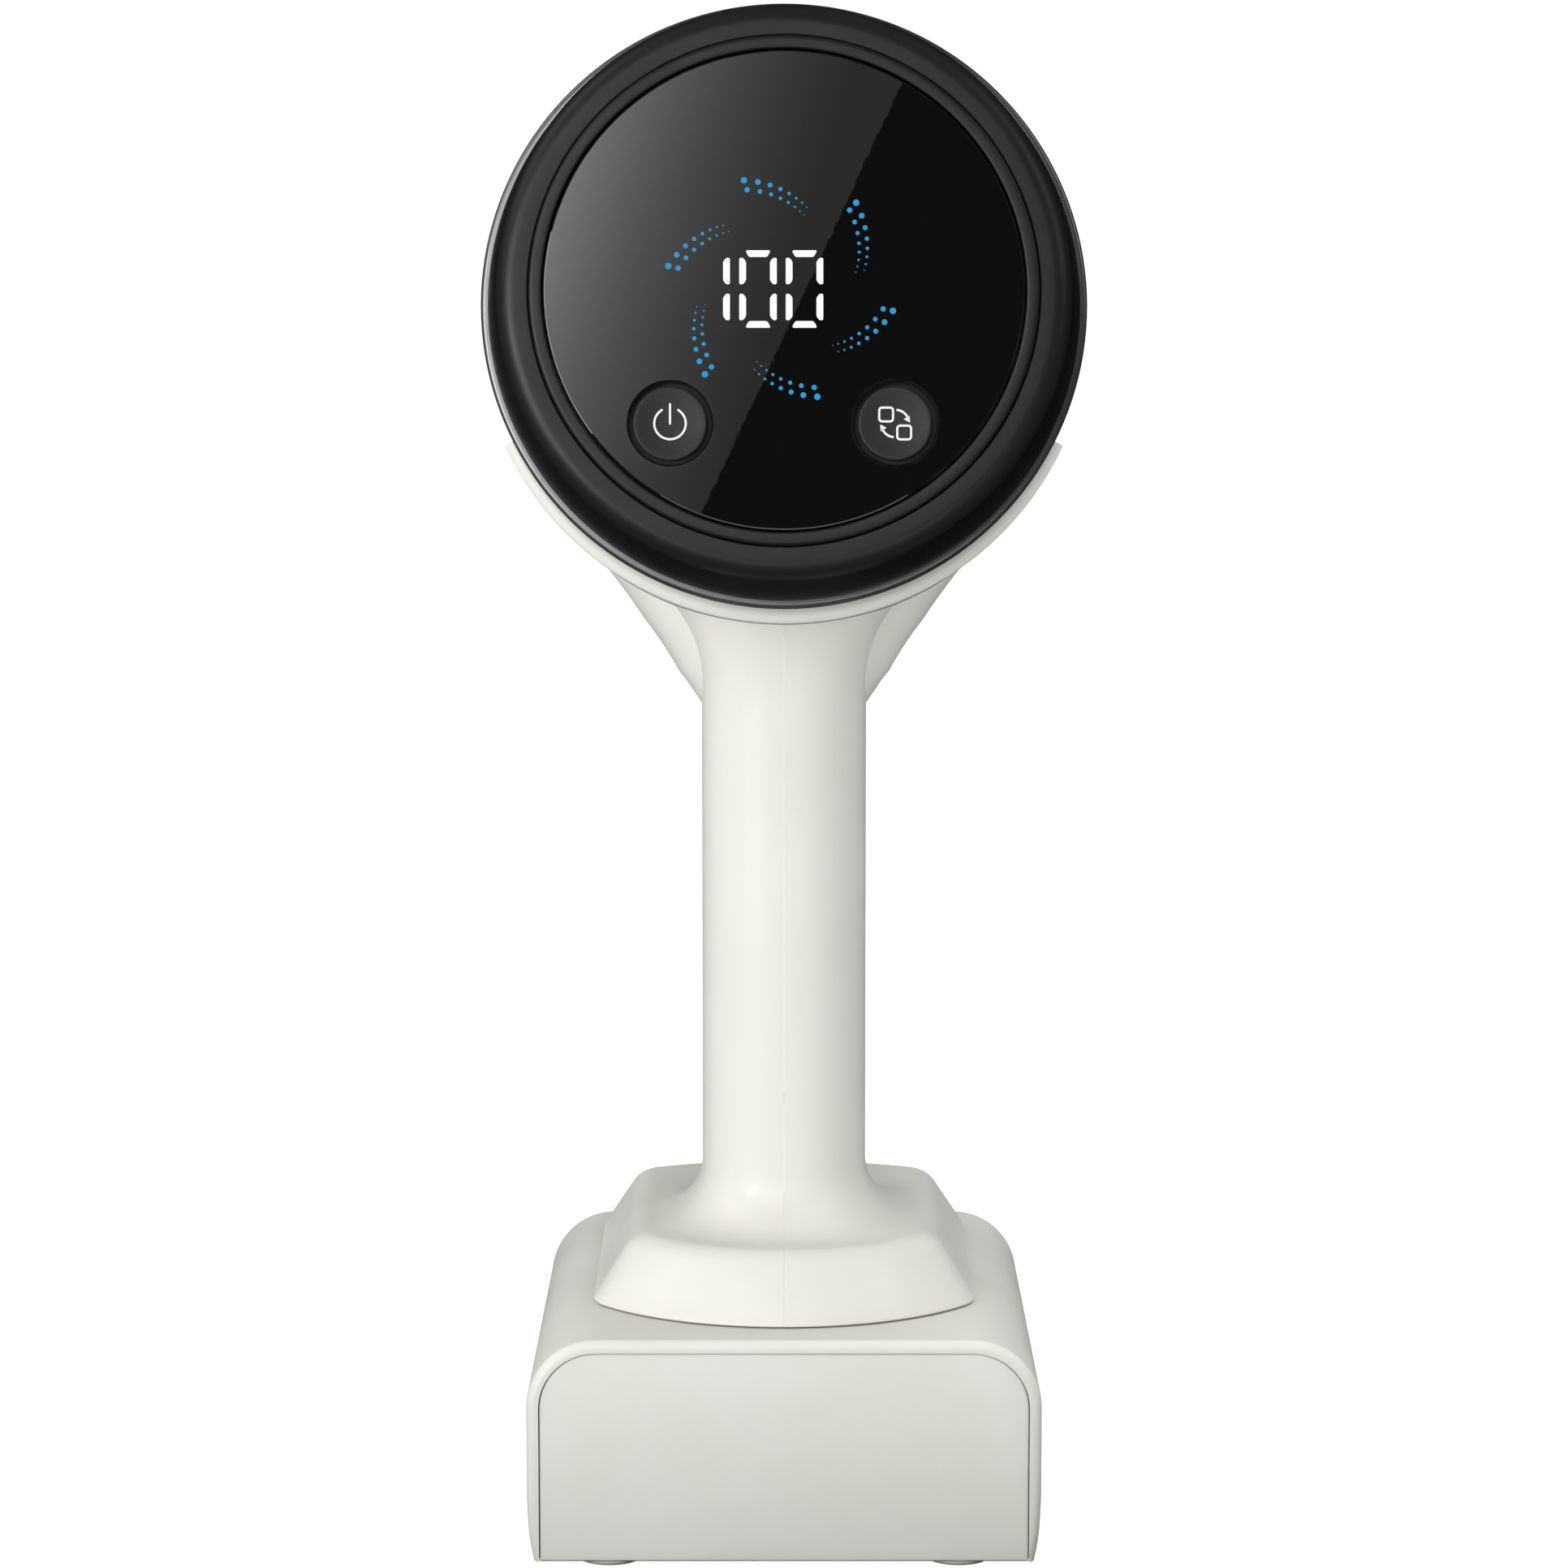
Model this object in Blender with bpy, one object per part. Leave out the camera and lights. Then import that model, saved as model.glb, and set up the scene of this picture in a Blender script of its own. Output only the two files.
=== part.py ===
"""Hand unit of a cordless stick vacuum cleaner, standing on its battery pack.

Metres, +Z up. The round head faces -Y with its display, the inlet points to +Y. The origin is on the
table plane, in the middle of the overall length and width.
The head is turned work about one axis, which slopes down towards the inlet by TILT. Its pieces are
modelled in the head's own frame: X to the right, Y forward along the axis, Z up, with the origin where
the head is widest. The foot, handle and battery are modelled from the rear face of the battery pack.
"""

import math

import bmesh
import bpy
from mathutils import Matrix, Vector

GAP = 0.0003  # clearance between neighbouring pieces
RIM_STEPS = 40  # sides of the head's large rings
CORE_STEPS = 24  # sides of the smaller turned pieces inside
WALL = 0.0022  # moulded walls
LENS_THICK = 0.0018

# Places
REAR_FACE_Y = -0.0943  # rear face of the battery pack, from the origin
HEAD_Z = 0.2350  # the head's origin, above that face
TILT = math.radians(9.0)

# Head, radii about its axis and stations along it (rearward is negative)
RIM_R = 0.0549  # trim ring, the widest ring seen from behind
CAP_R = 0.0536
CAP_SHOULDER_R = 0.0508  # the cap tapers to this at its rear
CAP_INNER_R = 0.0453
CAP_REAR = -0.0216
CAP_FILLET = 0.0032
BEZEL_R = 0.0450
BEZEL_REAR = -0.0229
GLASS_R = 0.04255
GLASS_REAR = -0.0225
GLASS_FRONT = GLASS_REAR + LENS_THICK
BARREL_R = 0.0524
BARREL_REAR = 0.0167
BARREL_FRONT = 0.0920
CRADLE_R = 0.0560
CRADLE_FRONT_R = 0.0545
CRADLE_LIP_R = 0.0567
CRADLE_REAR = 0.0169
CRADLE_EAR = math.radians(24.9)  # the ears stop this far below the horizontal

# Display and buttons
BUTTON_R = 0.00665
BUTTON_HOLE_R = 0.0073
POWER_X = -0.0201
MODE_X = 0.0196
BUTTON_DROP = 0.0236
BOARD_REAR = -0.0152
SWITCH_SIZE = 0.006
SWITCH_REAR = -0.0179

# Dust cup and inlet
CUP_R = 0.0504
CUP_REAR = 0.0926
CUP_FRONT = 0.1860
INLET_R = 0.0173
INLET_BORE_R = 0.0153
INLET_FRONT = 0.2180

# Handle, from the battery pack's rear face
GRIP_HALF_WIDTH = 0.0159
GRIP_REAR_Y = 0.0345
GRIP_FRONT_Y = 0.0765
PLINTH_BOTTOM = 0.04335
PLINTH_TOP = 0.0560
PLINTH_HALF_WIDTH = 0.0369
PLINTH_SLOPE = 0.0080  # how far each side leans in from bottom to top

# Battery pack
PACK_HALF_WIDTH = 0.0481
PACK_LENGTH = 0.1135
PACK_TOP = 0.04305
PACK_BOTTOM = 0.0008
PACK_CORNER = 0.0130
PACK_WALL = 0.0023
PACK_TUCK = 0.0013
CELL_R = 0.0091
CELL_LENGTH = 0.0650
CELL_PITCH = 0.0190
LATCH_REACH = 0.0034  # how far the latch stands above the pack
TERMINAL_HALF_WIDTH = 0.0055
PRONG_X = (0.0082, 0.0122)  # the latch's prongs stand between the terminal and the rails

# Slide rails between pack and plinth: a stem with a hook that points outward
RAIL_STEM_X = 0.0150
RAIL_HOOK_X = 0.0217
RAIL_STEM_WIDTH = 0.0030
RAIL_HOOK_Z = 0.0460
RAIL_TOP = 0.0490

SCREW_HEIGHTS = (0.0780, 0.1420)
SCREW_Y = 0.0560

MATERIALS = {
    "cream_plastic": ((0.80, 0.79, 0.75), 0.45, 0.0),
    "black_gloss": ((0.012, 0.012, 0.013), 0.18, 0.0),
    "black_glass": ((0.006, 0.006, 0.007), 0.05, 0.0),
    "button_black": ((0.025, 0.025, 0.026), 0.55, 0.0),
    "silver_trim": ((0.62, 0.61, 0.63), 0.30, 0.9),
    "graphite_plastic": ((0.06, 0.06, 0.065), 0.45, 0.0),
    "smoke_clear": ((0.30, 0.31, 0.33), 0.10, 0.0),
    "rubber_black": ((0.02, 0.02, 0.02), 0.80, 0.0),
    "foot_rubber": ((0.62, 0.61, 0.57), 0.70, 0.0),
    "filter_white": ((0.85, 0.85, 0.82), 0.90, 0.0),
    "circuit_green": ((0.02, 0.16, 0.08), 0.50, 0.0),
    "diffuser_white": ((0.85, 0.88, 0.90), 0.60, 0.0),
    "motor_metal": ((0.55, 0.56, 0.58), 0.35, 1.0),
    "steel": ((0.50, 0.50, 0.52), 0.30, 1.0),
    "cell_blue": ((0.10, 0.30, 0.55), 0.50, 0.0),
    "contact_brass": ((0.75, 0.58, 0.28), 0.30, 1.0),
}


# Modelling helpers


def clear_scene():
    for obj in list(bpy.data.objects):
        bpy.data.objects.remove(obj)


def material(name):
    found = bpy.data.materials.get(name)
    if found:
        return found
    colour, roughness, metallic = MATERIALS[name]
    made = bpy.data.materials.new(name)
    made.use_nodes = True
    shader = made.node_tree.nodes["Principled BSDF"]
    shader.inputs["Base Color"].default_value = (*colour, 1.0)
    shader.inputs["Roughness"].default_value = roughness
    shader.inputs["Metallic"].default_value = metallic
    return made


def frame(name, parent=None, location=(0, 0, 0), tilt=0.0):
    empty = bpy.data.objects.new(name, None)
    bpy.context.scene.collection.objects.link(empty)
    empty.parent = parent
    empty.location = location
    empty.rotation_euler.x = tilt
    return empty


def piece(name, bm, parent, finish=None, location=(0, 0, 0)):
    """Turns a bmesh into an object. Without a finish it is a cutter."""
    bmesh.ops.remove_doubles(bm, verts=bm.verts, dist=1e-6)
    bmesh.ops.recalc_face_normals(bm, faces=bm.faces)
    mesh = bpy.data.meshes.new(name)
    bm.to_mesh(mesh)
    bm.free()
    obj = bpy.data.objects.new(name, mesh)
    bpy.context.scene.collection.objects.link(obj)
    obj.parent = parent
    obj.location = location
    if finish is None:
        obj.hide_render = True
        obj.display_type = "WIRE"
    else:
        mesh.materials.append(material(finish))
        mesh.shade_smooth()
        mesh.set_sharp_from_angle(angle=math.radians(32))
    return obj


def boolean(obj, other, operation="DIFFERENCE"):
    modifier = obj.modifiers.new(f"{operation.lower()} {other.name}", "BOOLEAN")
    modifier.operation = operation
    modifier.object = other
    return obj


def spun(profile, steps=RIM_STEPS, closed=True):
    """A profile of (radius, along) points turned about the Y axis. An open one starts and ends on it."""
    bm = bmesh.new()
    verts = [bm.verts.new((r, along, 0)) for r, along in profile]
    ring = zip(verts, verts[1:] + verts[:1]) if closed else zip(verts, verts[1:])
    edges = [bm.edges.new(pair) for pair in ring]
    bmesh.ops.spin(
        bm,
        geom=verts + edges,
        cent=(0, 0, 0),
        axis=(0, 1, 0),
        dvec=(0, 0, 0),
        angle=math.tau,
        steps=steps,
        use_merge=True,
        use_duplicate=False,
    )
    return bm


def tube(inner, outer, rear, front, steps=RIM_STEPS, chamfer=0.0):
    profile = [
        (inner, rear),
        (outer - chamfer, rear),
        (outer, rear + chamfer),
        (outer, front - chamfer),
        (outer - chamfer, front),
        (inner, front),
    ]
    return spun(list(dict.fromkeys(profile)), steps)


def disc(radius, rear, front, steps=RIM_STEPS, chamfer=0.0):
    profile = [
        (0, rear),
        (radius - chamfer, rear),
        (radius, rear + chamfer),
        (radius, front),
        (0, front),
    ]
    return spun(list(dict.fromkeys(profile)), steps, closed=False)


def turned_along_x(profile, steps=12):
    bm = spun(profile, steps, closed=False)
    bmesh.ops.rotate(bm, cent=(0, 0, 0), matrix=Matrix.Rotation(-math.pi / 2, 3, "Z"), verts=bm.verts)
    return bm


def stepped(shank, head, low, step, high):
    """Profile of a screw or of the bore that takes it."""
    return [(0, low), (shank, low), (shank, step), (head, step), (head, high), (0, high)]


def arc(centre, radius, start, end, steps):
    """Points on an arc in a plane, from one angle to another, in degrees."""
    angles = [math.radians(start + (end - start) * i / steps) for i in range(steps + 1)]
    return [(centre[0] + radius * math.cos(a), centre[1] + radius * math.sin(a)) for a in angles]


def box(low, high):
    bm = bmesh.new()
    bmesh.ops.create_cube(bm, size=1.0)
    low, high = Vector(low), Vector(high)
    bmesh.ops.scale(bm, vec=high - low, verts=bm.verts)
    bmesh.ops.translate(bm, vec=(low + high) / 2, verts=bm.verts)
    return bm


def loft(loops):
    """Skins loops of points that have the same number of points, and closes both ends."""
    bm = bmesh.new()
    rings = []
    for loop in loops:
        verts = [bm.verts.new(point) for point in loop]
        rings.append([bm.edges.new(pair) for pair in zip(verts, verts[1:] + verts[:1])])
    for lower, upper in zip(rings, rings[1:]):
        bmesh.ops.bridge_loops(bm, edges=lower + upper)
    for ring in (rings[0], rings[-1]):
        bmesh.ops.contextual_create(bm, geom=ring)
    return bm


def prism(outline, start, end, axis="Y"):
    """A flat outline extruded along an axis. Its points are the other two coordinates, in order."""
    at = {
        "X": lambda p, d: (d, p[0], p[1]),
        "Y": lambda p, d: (p[0], d, p[1]),
        "Z": lambda p, d: (p[0], p[1], d),
    }[axis]
    return loft([[at(p, d) for p in outline] for d in (start, end)])


def rod(radius, low, high, axis="Z", steps=24):
    """A round bar along an axis, between two points that share the other two coordinates."""
    low, high = Vector(low), Vector(high)
    bm = bmesh.new()
    bmesh.ops.create_cone(
        bm,
        cap_ends=True,
        segments=steps,
        radius1=radius,
        radius2=radius,
        depth=(high - low).length,
    )
    turn = {"X": Matrix.Rotation(math.pi / 2, 4, "Y"), "Y": Matrix.Rotation(math.pi / 2, 4, "X")}
    bmesh.ops.transform(bm, matrix=turn.get(axis, Matrix()), verts=bm.verts)
    bmesh.ops.translate(bm, vec=(low + high) / 2, verts=bm.verts)
    return bm


def joined(*meshes):
    """Several bmeshes as one, for cutters made of separate bodies."""
    whole = meshes[0]
    for other in meshes[1:]:
        data = bpy.data.meshes.new("joined")
        other.to_mesh(data)
        other.free()
        whole.from_mesh(data)
        bpy.data.meshes.remove(data)
    return whole


# Head: display


def button_places():
    return {"power": (POWER_X, -BUTTON_DROP), "mode": (MODE_X, -BUTTON_DROP)}


def display(head):
    pane = disc(GLASS_R, GLASS_REAR, GLASS_FRONT, chamfer=0.0005)
    glass = piece("display_glass", pane, head, "black_glass")
    holes = joined(
        *[
            rod(BUTTON_HOLE_R, (x, GLASS_REAR - WALL, z), (x, GLASS_FRONT + WALL, z), "Y", 20)
            for x, z in button_places().values()
        ]
    )
    boolean(glass, piece("button_holes", holes, head))

    crest = 0.0004
    bezel = [
        (GLASS_R + GAP, GLASS_FRONT + 0.0018),
        (GLASS_R + GAP, BEZEL_REAR + crest),
        (GLASS_R + GAP + crest, BEZEL_REAR),
        (BEZEL_R - 0.0010, BEZEL_REAR),
        (BEZEL_R, BEZEL_REAR + 0.0010),
        (BEZEL_R, GLASS_FRONT + 0.0018),
    ]
    piece("display_bezel", spun(bezel), head, "black_gloss")

    guide_r = 0.0223
    guide = disc(guide_r, GLASS_FRONT + GAP, BOARD_REAR - GAP, CORE_STEPS)
    piece("display_light_guide", guide, head, "diffuser_white")
    piece("display_board", disc(0.0420, BOARD_REAR, BOARD_REAR + 0.0016, CORE_STEPS), head, "circuit_green")

    carrier = [
        (0.0426, -0.0186),
        (0.0449, -0.0186),
        (0.0449, 0.0020),
        (0.0060, 0.0020),
        (0.0060, 0.0),
        (0.0426, 0.0),
    ]
    piece("display_carrier", spun(carrier), head, "graphite_plastic")
    stem_rear = 0.0020 + GAP
    piece("display_stem", tube(0.0350, 0.0374, stem_rear, 0.0277, CORE_STEPS), head, "graphite_plastic")


def buttons(head):
    """Each button is caught under the glass by a flange, and presses a switch on the board."""
    flange_r = 0.0082
    flange_rear = GLASS_FRONT + GAP
    foot = flange_rear + 0.0012
    half = SWITCH_SIZE / 2
    for name, (x, z) in button_places().items():
        dish = [(0, GLASS_REAR + 0.0004), (BUTTON_R * 0.6, GLASS_REAR + 0.0002)]
        body = dish + [
            (BUTTON_R - 0.0004, GLASS_REAR),
            (BUTTON_R, GLASS_REAR + 0.0004),
            (BUTTON_R, flange_rear),
            (flange_r, flange_rear),
            (flange_r, foot),
            (0, foot),
        ]
        piece(f"{name}_button", spun(body, 20, closed=False), head, "button_black", (x, 0, z))
        switch = box((x - half, SWITCH_REAR, z - half), (x + half, BOARD_REAR - GAP, z + half))
        piece(f"{name}_switch", switch, head, "graphite_plastic")


# Head: filter unit, which turns as one


def filter_unit(head):
    fillet = arc((CAP_SHOULDER_R - CAP_FILLET, CAP_REAR + CAP_FILLET), CAP_FILLET, -90, -8, 4)
    outside = [(CAP_INNER_R, CAP_REAR)] + fillet + [(CAP_R, 0.0)]
    inside = [
        (CAP_R - WALL, 0.0),
        (CAP_SHOULDER_R - WALL, -0.0178),
        (CAP_INNER_R, -0.0192),
    ]
    piece("rear_cap", spun(outside + inside), head, "black_gloss")
    piece("trim_ring", tube(0.0505, RIM_R, GAP, 0.0033, chamfer=0.0006), head, "silver_trim")

    ring = tube(BARREL_R - WALL, BARREL_R, 0.0036, 0.0164)
    grille = piece("exhaust_grille", ring, head, "graphite_plastic")
    slots, slot_width = RIM_STEPS // 2, 0.0090
    slot = [box((-slot_width / 2, 0.0056, 0.049), (slot_width / 2, 0.0144, 0.057)) for _ in range(slots)]
    for i, cutter in enumerate(slot):
        turn = Matrix.Rotation(math.tau * (i + 0.25) / slots, 3, "Y")
        bmesh.ops.rotate(cutter, cent=(0, 0, 0), matrix=turn, verts=cutter.verts)
    boolean(grille, piece("exhaust_slots", joined(*slot), head))

    pleats = 40
    star = []
    for i in range(pleats):
        for offset, radius in ((0.0, 0.0497), (0.5, 0.0462)):
            angle = math.tau * (i + offset) / pleats
            star.append((radius * math.cos(angle), radius * math.sin(angle)))
    hepa = piece("hepa_filter", prism(star, 0.0038, 0.0162), head, "filter_white")
    bore = piece("filter_bore", disc(0.0380, 0.0, 0.0200, CORE_STEPS), head)
    boolean(hepa, bore)


# Head: motor


def motor(head):
    piece("motor_barrel", tube(BARREL_R - 0.0020, BARREL_R, BARREL_REAR, BARREL_FRONT), head, "cream_plastic")

    plate = tube(0.0250, BARREL_R - 0.0023, 0.0280, 0.0310)
    rear = piece("motor_mount_rear", plate, head, "graphite_plastic")
    ports = []
    for i in range(4):
        angle = math.tau * (i + 0.5) / 4
        x, z = 0.0310 * math.cos(angle), 0.0310 * math.sin(angle)
        ports.append(rod(0.0045, (x, 0.0260, z), (x, 0.0330, z), "Y", 12))
    boolean(rear, piece("motor_mount_ports", joined(*ports), head))

    can = [
        (0.0028, 0.0313),
        (0.0245, 0.0313),
        (0.0245, 0.0600),
        (0.0340, 0.0640),
        (0.0340, 0.0780),
        (0.0325, 0.0780),
        (0.0325, 0.0655),
        (0.0235, 0.0625),
        (0.0028, 0.0625),
    ]
    piece("motor_can", spun(can, CORE_STEPS), head, "motor_metal")

    impeller = piece("impeller", impeller_hub(), head, "motor_metal")
    boolean(impeller, piece("impeller_blades", impeller_blades(), head), "UNION")

    mount = tube(0.0344, BARREL_R - 0.0023, 0.0690, 0.0750)
    piece("motor_mount_front", mount, head, "rubber_black")


def impeller_hub():
    """Shaft and hub in one, turning in the can's bore."""
    profile = [
        (0, 0.0340),
        (0.00272, 0.0340),
        (0.00272, 0.0640),
        (0.0300, 0.0668),
        (0.0300, 0.0680),
        (0.0080, 0.0760),
        (0, 0.0790),
    ]
    return spun(profile, CORE_STEPS, closed=False)


def impeller_blades():
    count, sweep = 7, math.radians(50)
    blades = []
    for i in range(count):
        start = math.tau * i / count
        loops = []
        for step in range(3):
            share = step / 2
            radius = 0.0070 + (0.0305 - 0.0070) * share
            angle = start + sweep * share
            across = Vector((-math.sin(angle), 0, math.cos(angle))) * 0.0005
            middle = Vector((radius * math.cos(angle), 0, radius * math.sin(angle)))
            top = 0.0770 - 0.0040 * share
            foot = 0.0672
            loops.append(
                [
                    middle - across + Vector((0, foot, 0)),
                    middle + across + Vector((0, foot, 0)),
                    middle + across + Vector((0, top, 0)),
                    middle - across + Vector((0, top, 0)),
                ]
            )
        blades.append(loft(loops))
    return joined(*blades)


# Head: cradle, which the handle carries


def cradle(head):
    """A trough under the barrel, with a rounded lip at its rear edge and an ear on each side."""
    lip = arc((CRADLE_LIP_R - 0.0017, CRADLE_REAR + 0.0017), 0.0017, 180, 360, 4)
    profile = lip + [
        (CRADLE_LIP_R - 0.0001, CRADLE_REAR + 0.0030),
        (CRADLE_R, CRADLE_REAR + 0.0060),
        (CRADLE_FRONT_R, 0.0895),
        (CRADLE_FRONT_R - 0.0008, BARREL_FRONT),
        (BARREL_R + GAP, BARREL_FRONT),
        (BARREL_R + GAP, CRADLE_REAR + 0.0017),
    ]
    whole = piece("cradle", spun(profile), head, "cream_plastic")
    reach = 0.070
    ear_x = reach * math.cos(CRADLE_EAR)
    ear_z = -reach * math.sin(CRADLE_EAR)
    outline = [(0, 0), (ear_x, ear_z), (reach, reach), (-reach, reach), (-ear_x, ear_z)]
    above = prism(outline, 0.0, 0.1)
    boolean(whole, piece("cradle_open_top", above, head))


def cup_release(head):
    """A push latch on top of the barrel, held in a raised frame."""
    rear, front, half = 0.0690, 0.0880, 0.0100
    base_z, top_z = BARREL_R - 0.0006, BARREL_R + 0.0036
    pad = box((-half, rear, base_z), (half, front, top_z))
    housing = piece("latch_housing", pad, head, "cream_plastic")
    seat = piece("latch_seat", disc(BARREL_R + GAP, 0.060, 0.095), head)
    boolean(housing, seat)
    window = box((-0.0070, rear + 0.0030, 0.050), (0.0070, front - 0.0030, 0.060))
    boolean(housing, piece("latch_window", window, head))
    button = box((-0.0066, rear + 0.0034, BARREL_R + 0.0022), (0.0066, front - 0.0034, top_z + 0.0006))
    piece("cup_release_button", button, head, "graphite_plastic")


# Head: dust cup and inlet


def cyclone(head):
    flange = [
        (0.0340, 0.0800),
        (BARREL_R - 0.0023, 0.0800),
        (BARREL_R - 0.0023, 0.0917),
        (0.0460, 0.0917),
        (0.0460, 0.0970),
        (0.0340, 0.0970),
    ]
    piece("cyclone_flange", spun(flange), head, "graphite_plastic")
    piece("cup_seal", tube(0.0463, 0.0478, 0.0930, 0.0955), head, "rubber_black")
    piece("cyclone_screen", tube(0.0318, 0.0332, 0.0973, 0.1240, CORE_STEPS), head, "steel")
    skirt = [
        (0, 0.1243),
        (0.0330, 0.1243),
        (0.0400, 0.1350),
        (0.0385, 0.1350),
        (0.0320, 0.1262),
        (0, 0.1262),
    ]
    piece("cyclone_skirt", spun(skirt, CORE_STEPS, closed=False), head, "graphite_plastic")


def dust_cup(head):
    corner = 0.0080
    inner = CUP_R - 0.0022
    outside = [(CUP_R, CUP_REAR)] + arc((CUP_R - corner, CUP_FRONT - corner), corner, 0, 90, 3)
    inside = arc((inner - corner, CUP_FRONT - 0.0022 - corner), corner, 90, 0, 3) + [(inner, CUP_REAR)]
    bore = [(INLET_R + GAP, CUP_FRONT), (INLET_R + GAP, CUP_FRONT - 0.0022)]
    piece("dust_cup", spun(outside + bore + inside), head, "smoke_clear")


def inlet(head):
    """The spigot that takes the wand, with its catch button and the flap that keeps dust in the cup."""
    flange_rear = CUP_FRONT + GAP
    spigot = [
        (INLET_BORE_R, 0.1752),
        (INLET_R, 0.1752),
        (INLET_R, flange_rear),
        (0.0220, flange_rear),
        (0.0220, flange_rear + 0.0022),
        (INLET_R + 0.0012, flange_rear + 0.0022),
        (INLET_R + 0.0012, INLET_FRONT - 0.0010),
        (INLET_R + 0.0002, INLET_FRONT),
        (INLET_BORE_R, INLET_FRONT),
    ]
    piece("inlet_spigot", spun(spigot, CORE_STEPS), head, "graphite_plastic")

    bottom = INLET_R + 0.0012 + GAP
    rear, front = flange_rear + 0.0022 + GAP, 0.2060
    frame_top = bottom + 0.0080
    block = box((-0.0090, rear, 0.0150), (0.0090, front, frame_top))
    housing = piece("catch_housing", block, head, "graphite_plastic")
    boolean(housing, piece("catch_seat", disc(bottom, 0.180, 0.215, CORE_STEPS), head))
    window = box((-0.0065, rear + 0.0022, bottom - 0.0010), (0.0065, front - 0.0022, frame_top + 0.0020))
    boolean(housing, piece("catch_window", window, head))
    button = box((-0.0061, rear + 0.0026, bottom + 0.0030), (0.0061, front - 0.0026, frame_top + 0.0012))
    piece("wand_release_button", button, head, "cream_plastic")

    hinge_z, hinge_y = INLET_R + 0.0020, 0.1742
    plate = piece("inlet_flap", disc(0.0168, 0.1736, 0.1748, CORE_STEPS), head, "rubber_black")
    lug = box((-0.0050, 0.1736, 0.0140), (0.0050, 0.1748, hinge_z))
    boolean(plate, piece("flap_lug", lug, head), "UNION")
    barrel = rod(0.0016, (-0.0050, hinge_y, hinge_z), (0.0050, hinge_y, hinge_z), "X", 16)
    boolean(plate, piece("flap_barrel", barrel, head), "UNION")
    pin_hole = rod(0.0008, (-0.0080, hinge_y, hinge_z), (0.0080, hinge_y, hinge_z), "X", 16)
    boolean(plate, piece("flap_pin_hole", pin_hole, head))
    pin = rod(0.00072, (-0.0078, hinge_y, hinge_z), (0.0078, hinge_y, hinge_z), "X", 16)
    piece("flap_pin", pin, head, "steel")


# Handle


def oval(half_width, rear, front, z, power=2.4, points=24):
    """A superellipse at one height: rounder than a box, fuller than an ellipse."""
    middle, half_length = (rear + front) / 2, (front - rear) / 2
    loop = []
    for i in range(points):
        angle = math.tau * i / points
        c, s = math.cos(angle), math.sin(angle)
        x = half_width * math.copysign(abs(c) ** (2 / power), c)
        y = middle + half_length * math.copysign(abs(s) ** (2 / power), s)
        loop.append((x, y, z))
    return loop


def flared(share, low, high):
    """A quarter-round flare: low at share 0, high at share 1, level at the start and steep at the end."""
    return low + (high - low) * (1 - math.sqrt(max(0.0, 1 - share * share)))


def grip_sections(inset=0.0):
    """The grip from inside the plinth up to the cradle, flaring out at both ends."""
    foot_top, neck, crown = 0.0670, 0.1560, 0.1835
    width, rear, front = GRIP_HALF_WIDTH - inset, GRIP_REAR_Y + inset, GRIP_FRONT_Y - inset
    sections = [oval(width + 0.0100, rear - 0.0110, front + 0.0100, 0.0500)]
    steps = 4
    for i in range(steps + 1):
        share = 1 - i / steps
        z = foot_top - (foot_top - PLINTH_TOP) * share
        spread = flared(share, 0.0, 0.0100)
        sections.append(oval(width + spread, rear - spread * 1.1, front + spread, z))
    for i in range(steps + 2):
        share = i / (steps + 1)
        z = neck + (crown - neck) * share
        spread = flared(share * 0.985, 0.0, 0.0190)
        back = flared(share * 0.97, 0.0, 0.0180)
        sections.append(oval(width + spread, rear - back, front, z))
    return sections


def keel_sections(inset=0.0):
    """The wedge between grip and barrel: its flanks run straight up to touch the barrel's round."""
    sections = []
    for z, half_width, rear, front in (
        (0.1500, 0.0115, 0.0500, 0.0740),
        (0.1560, 0.0162, 0.0440, 0.0790),
        (0.1620, 0.0206, 0.0420, 0.0850),
        (0.1720, 0.0274, 0.0400, 0.0930),
        (0.1845, 0.0368, 0.0380, 0.1000),
        (0.2000, 0.0472, 0.0360, 0.1040),
    ):
        sections.append(oval(half_width - inset, rear + inset, front - inset, z, 2.6))
    return sections


def plinth_outline(shrink):
    """Plan of the plinth: straight sides, a deep rear bow and a shallower front bow."""
    half = PLINTH_HALF_WIDTH - shrink
    rear_mid, rear_corner = 0.0092 + shrink, 0.0300 + shrink * 0.4
    front_corner, front_mid = 0.1010 - shrink * 0.6, 0.1120 - shrink
    bow, corner = 7, 0.0060
    points = []
    for y_mid, y_corner, way in ((rear_mid, rear_corner, 1), (front_mid, front_corner, -1)):
        sag = abs(y_corner - y_mid)
        radius = (half * half + sag * sag) / (2 * sag)
        centre = y_mid + math.copysign(radius, y_corner - y_mid)
        reach = math.asin((half - corner * 0.5) / radius)
        for i in range(bow + 1):
            angle = way * (-reach + 2 * reach * i / bow)
            y = centre - math.copysign(radius * math.cos(angle), centre - y_mid)
            points.append((radius * math.sin(angle), y))
        turn = 1 if way == 1 else -1
        points.append((turn * half, y_corner + way * corner * 0.35))
        points.append((turn * half, y_corner + way * corner * 1.1))
        if way == 1:
            points += [(half, front_corner - corner * 1.1), (half, front_corner - corner * 0.35)]
        else:
            points += [(-half, rear_corner + corner * 1.1), (-half, rear_corner + corner * 0.35)]
    seen = []
    for point in points:
        if all(math.dist(point, other) > 1e-5 for other in seen):
            seen.append(point)
    return seen


def plinth(shrink, bottom, top):
    lower = [(x, y, bottom) for x, y in plinth_outline(shrink)]
    upper = [(x, y, top) for x, y in plinth_outline(shrink + PLINTH_SLOPE)]
    return loft([lower, upper])


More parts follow.
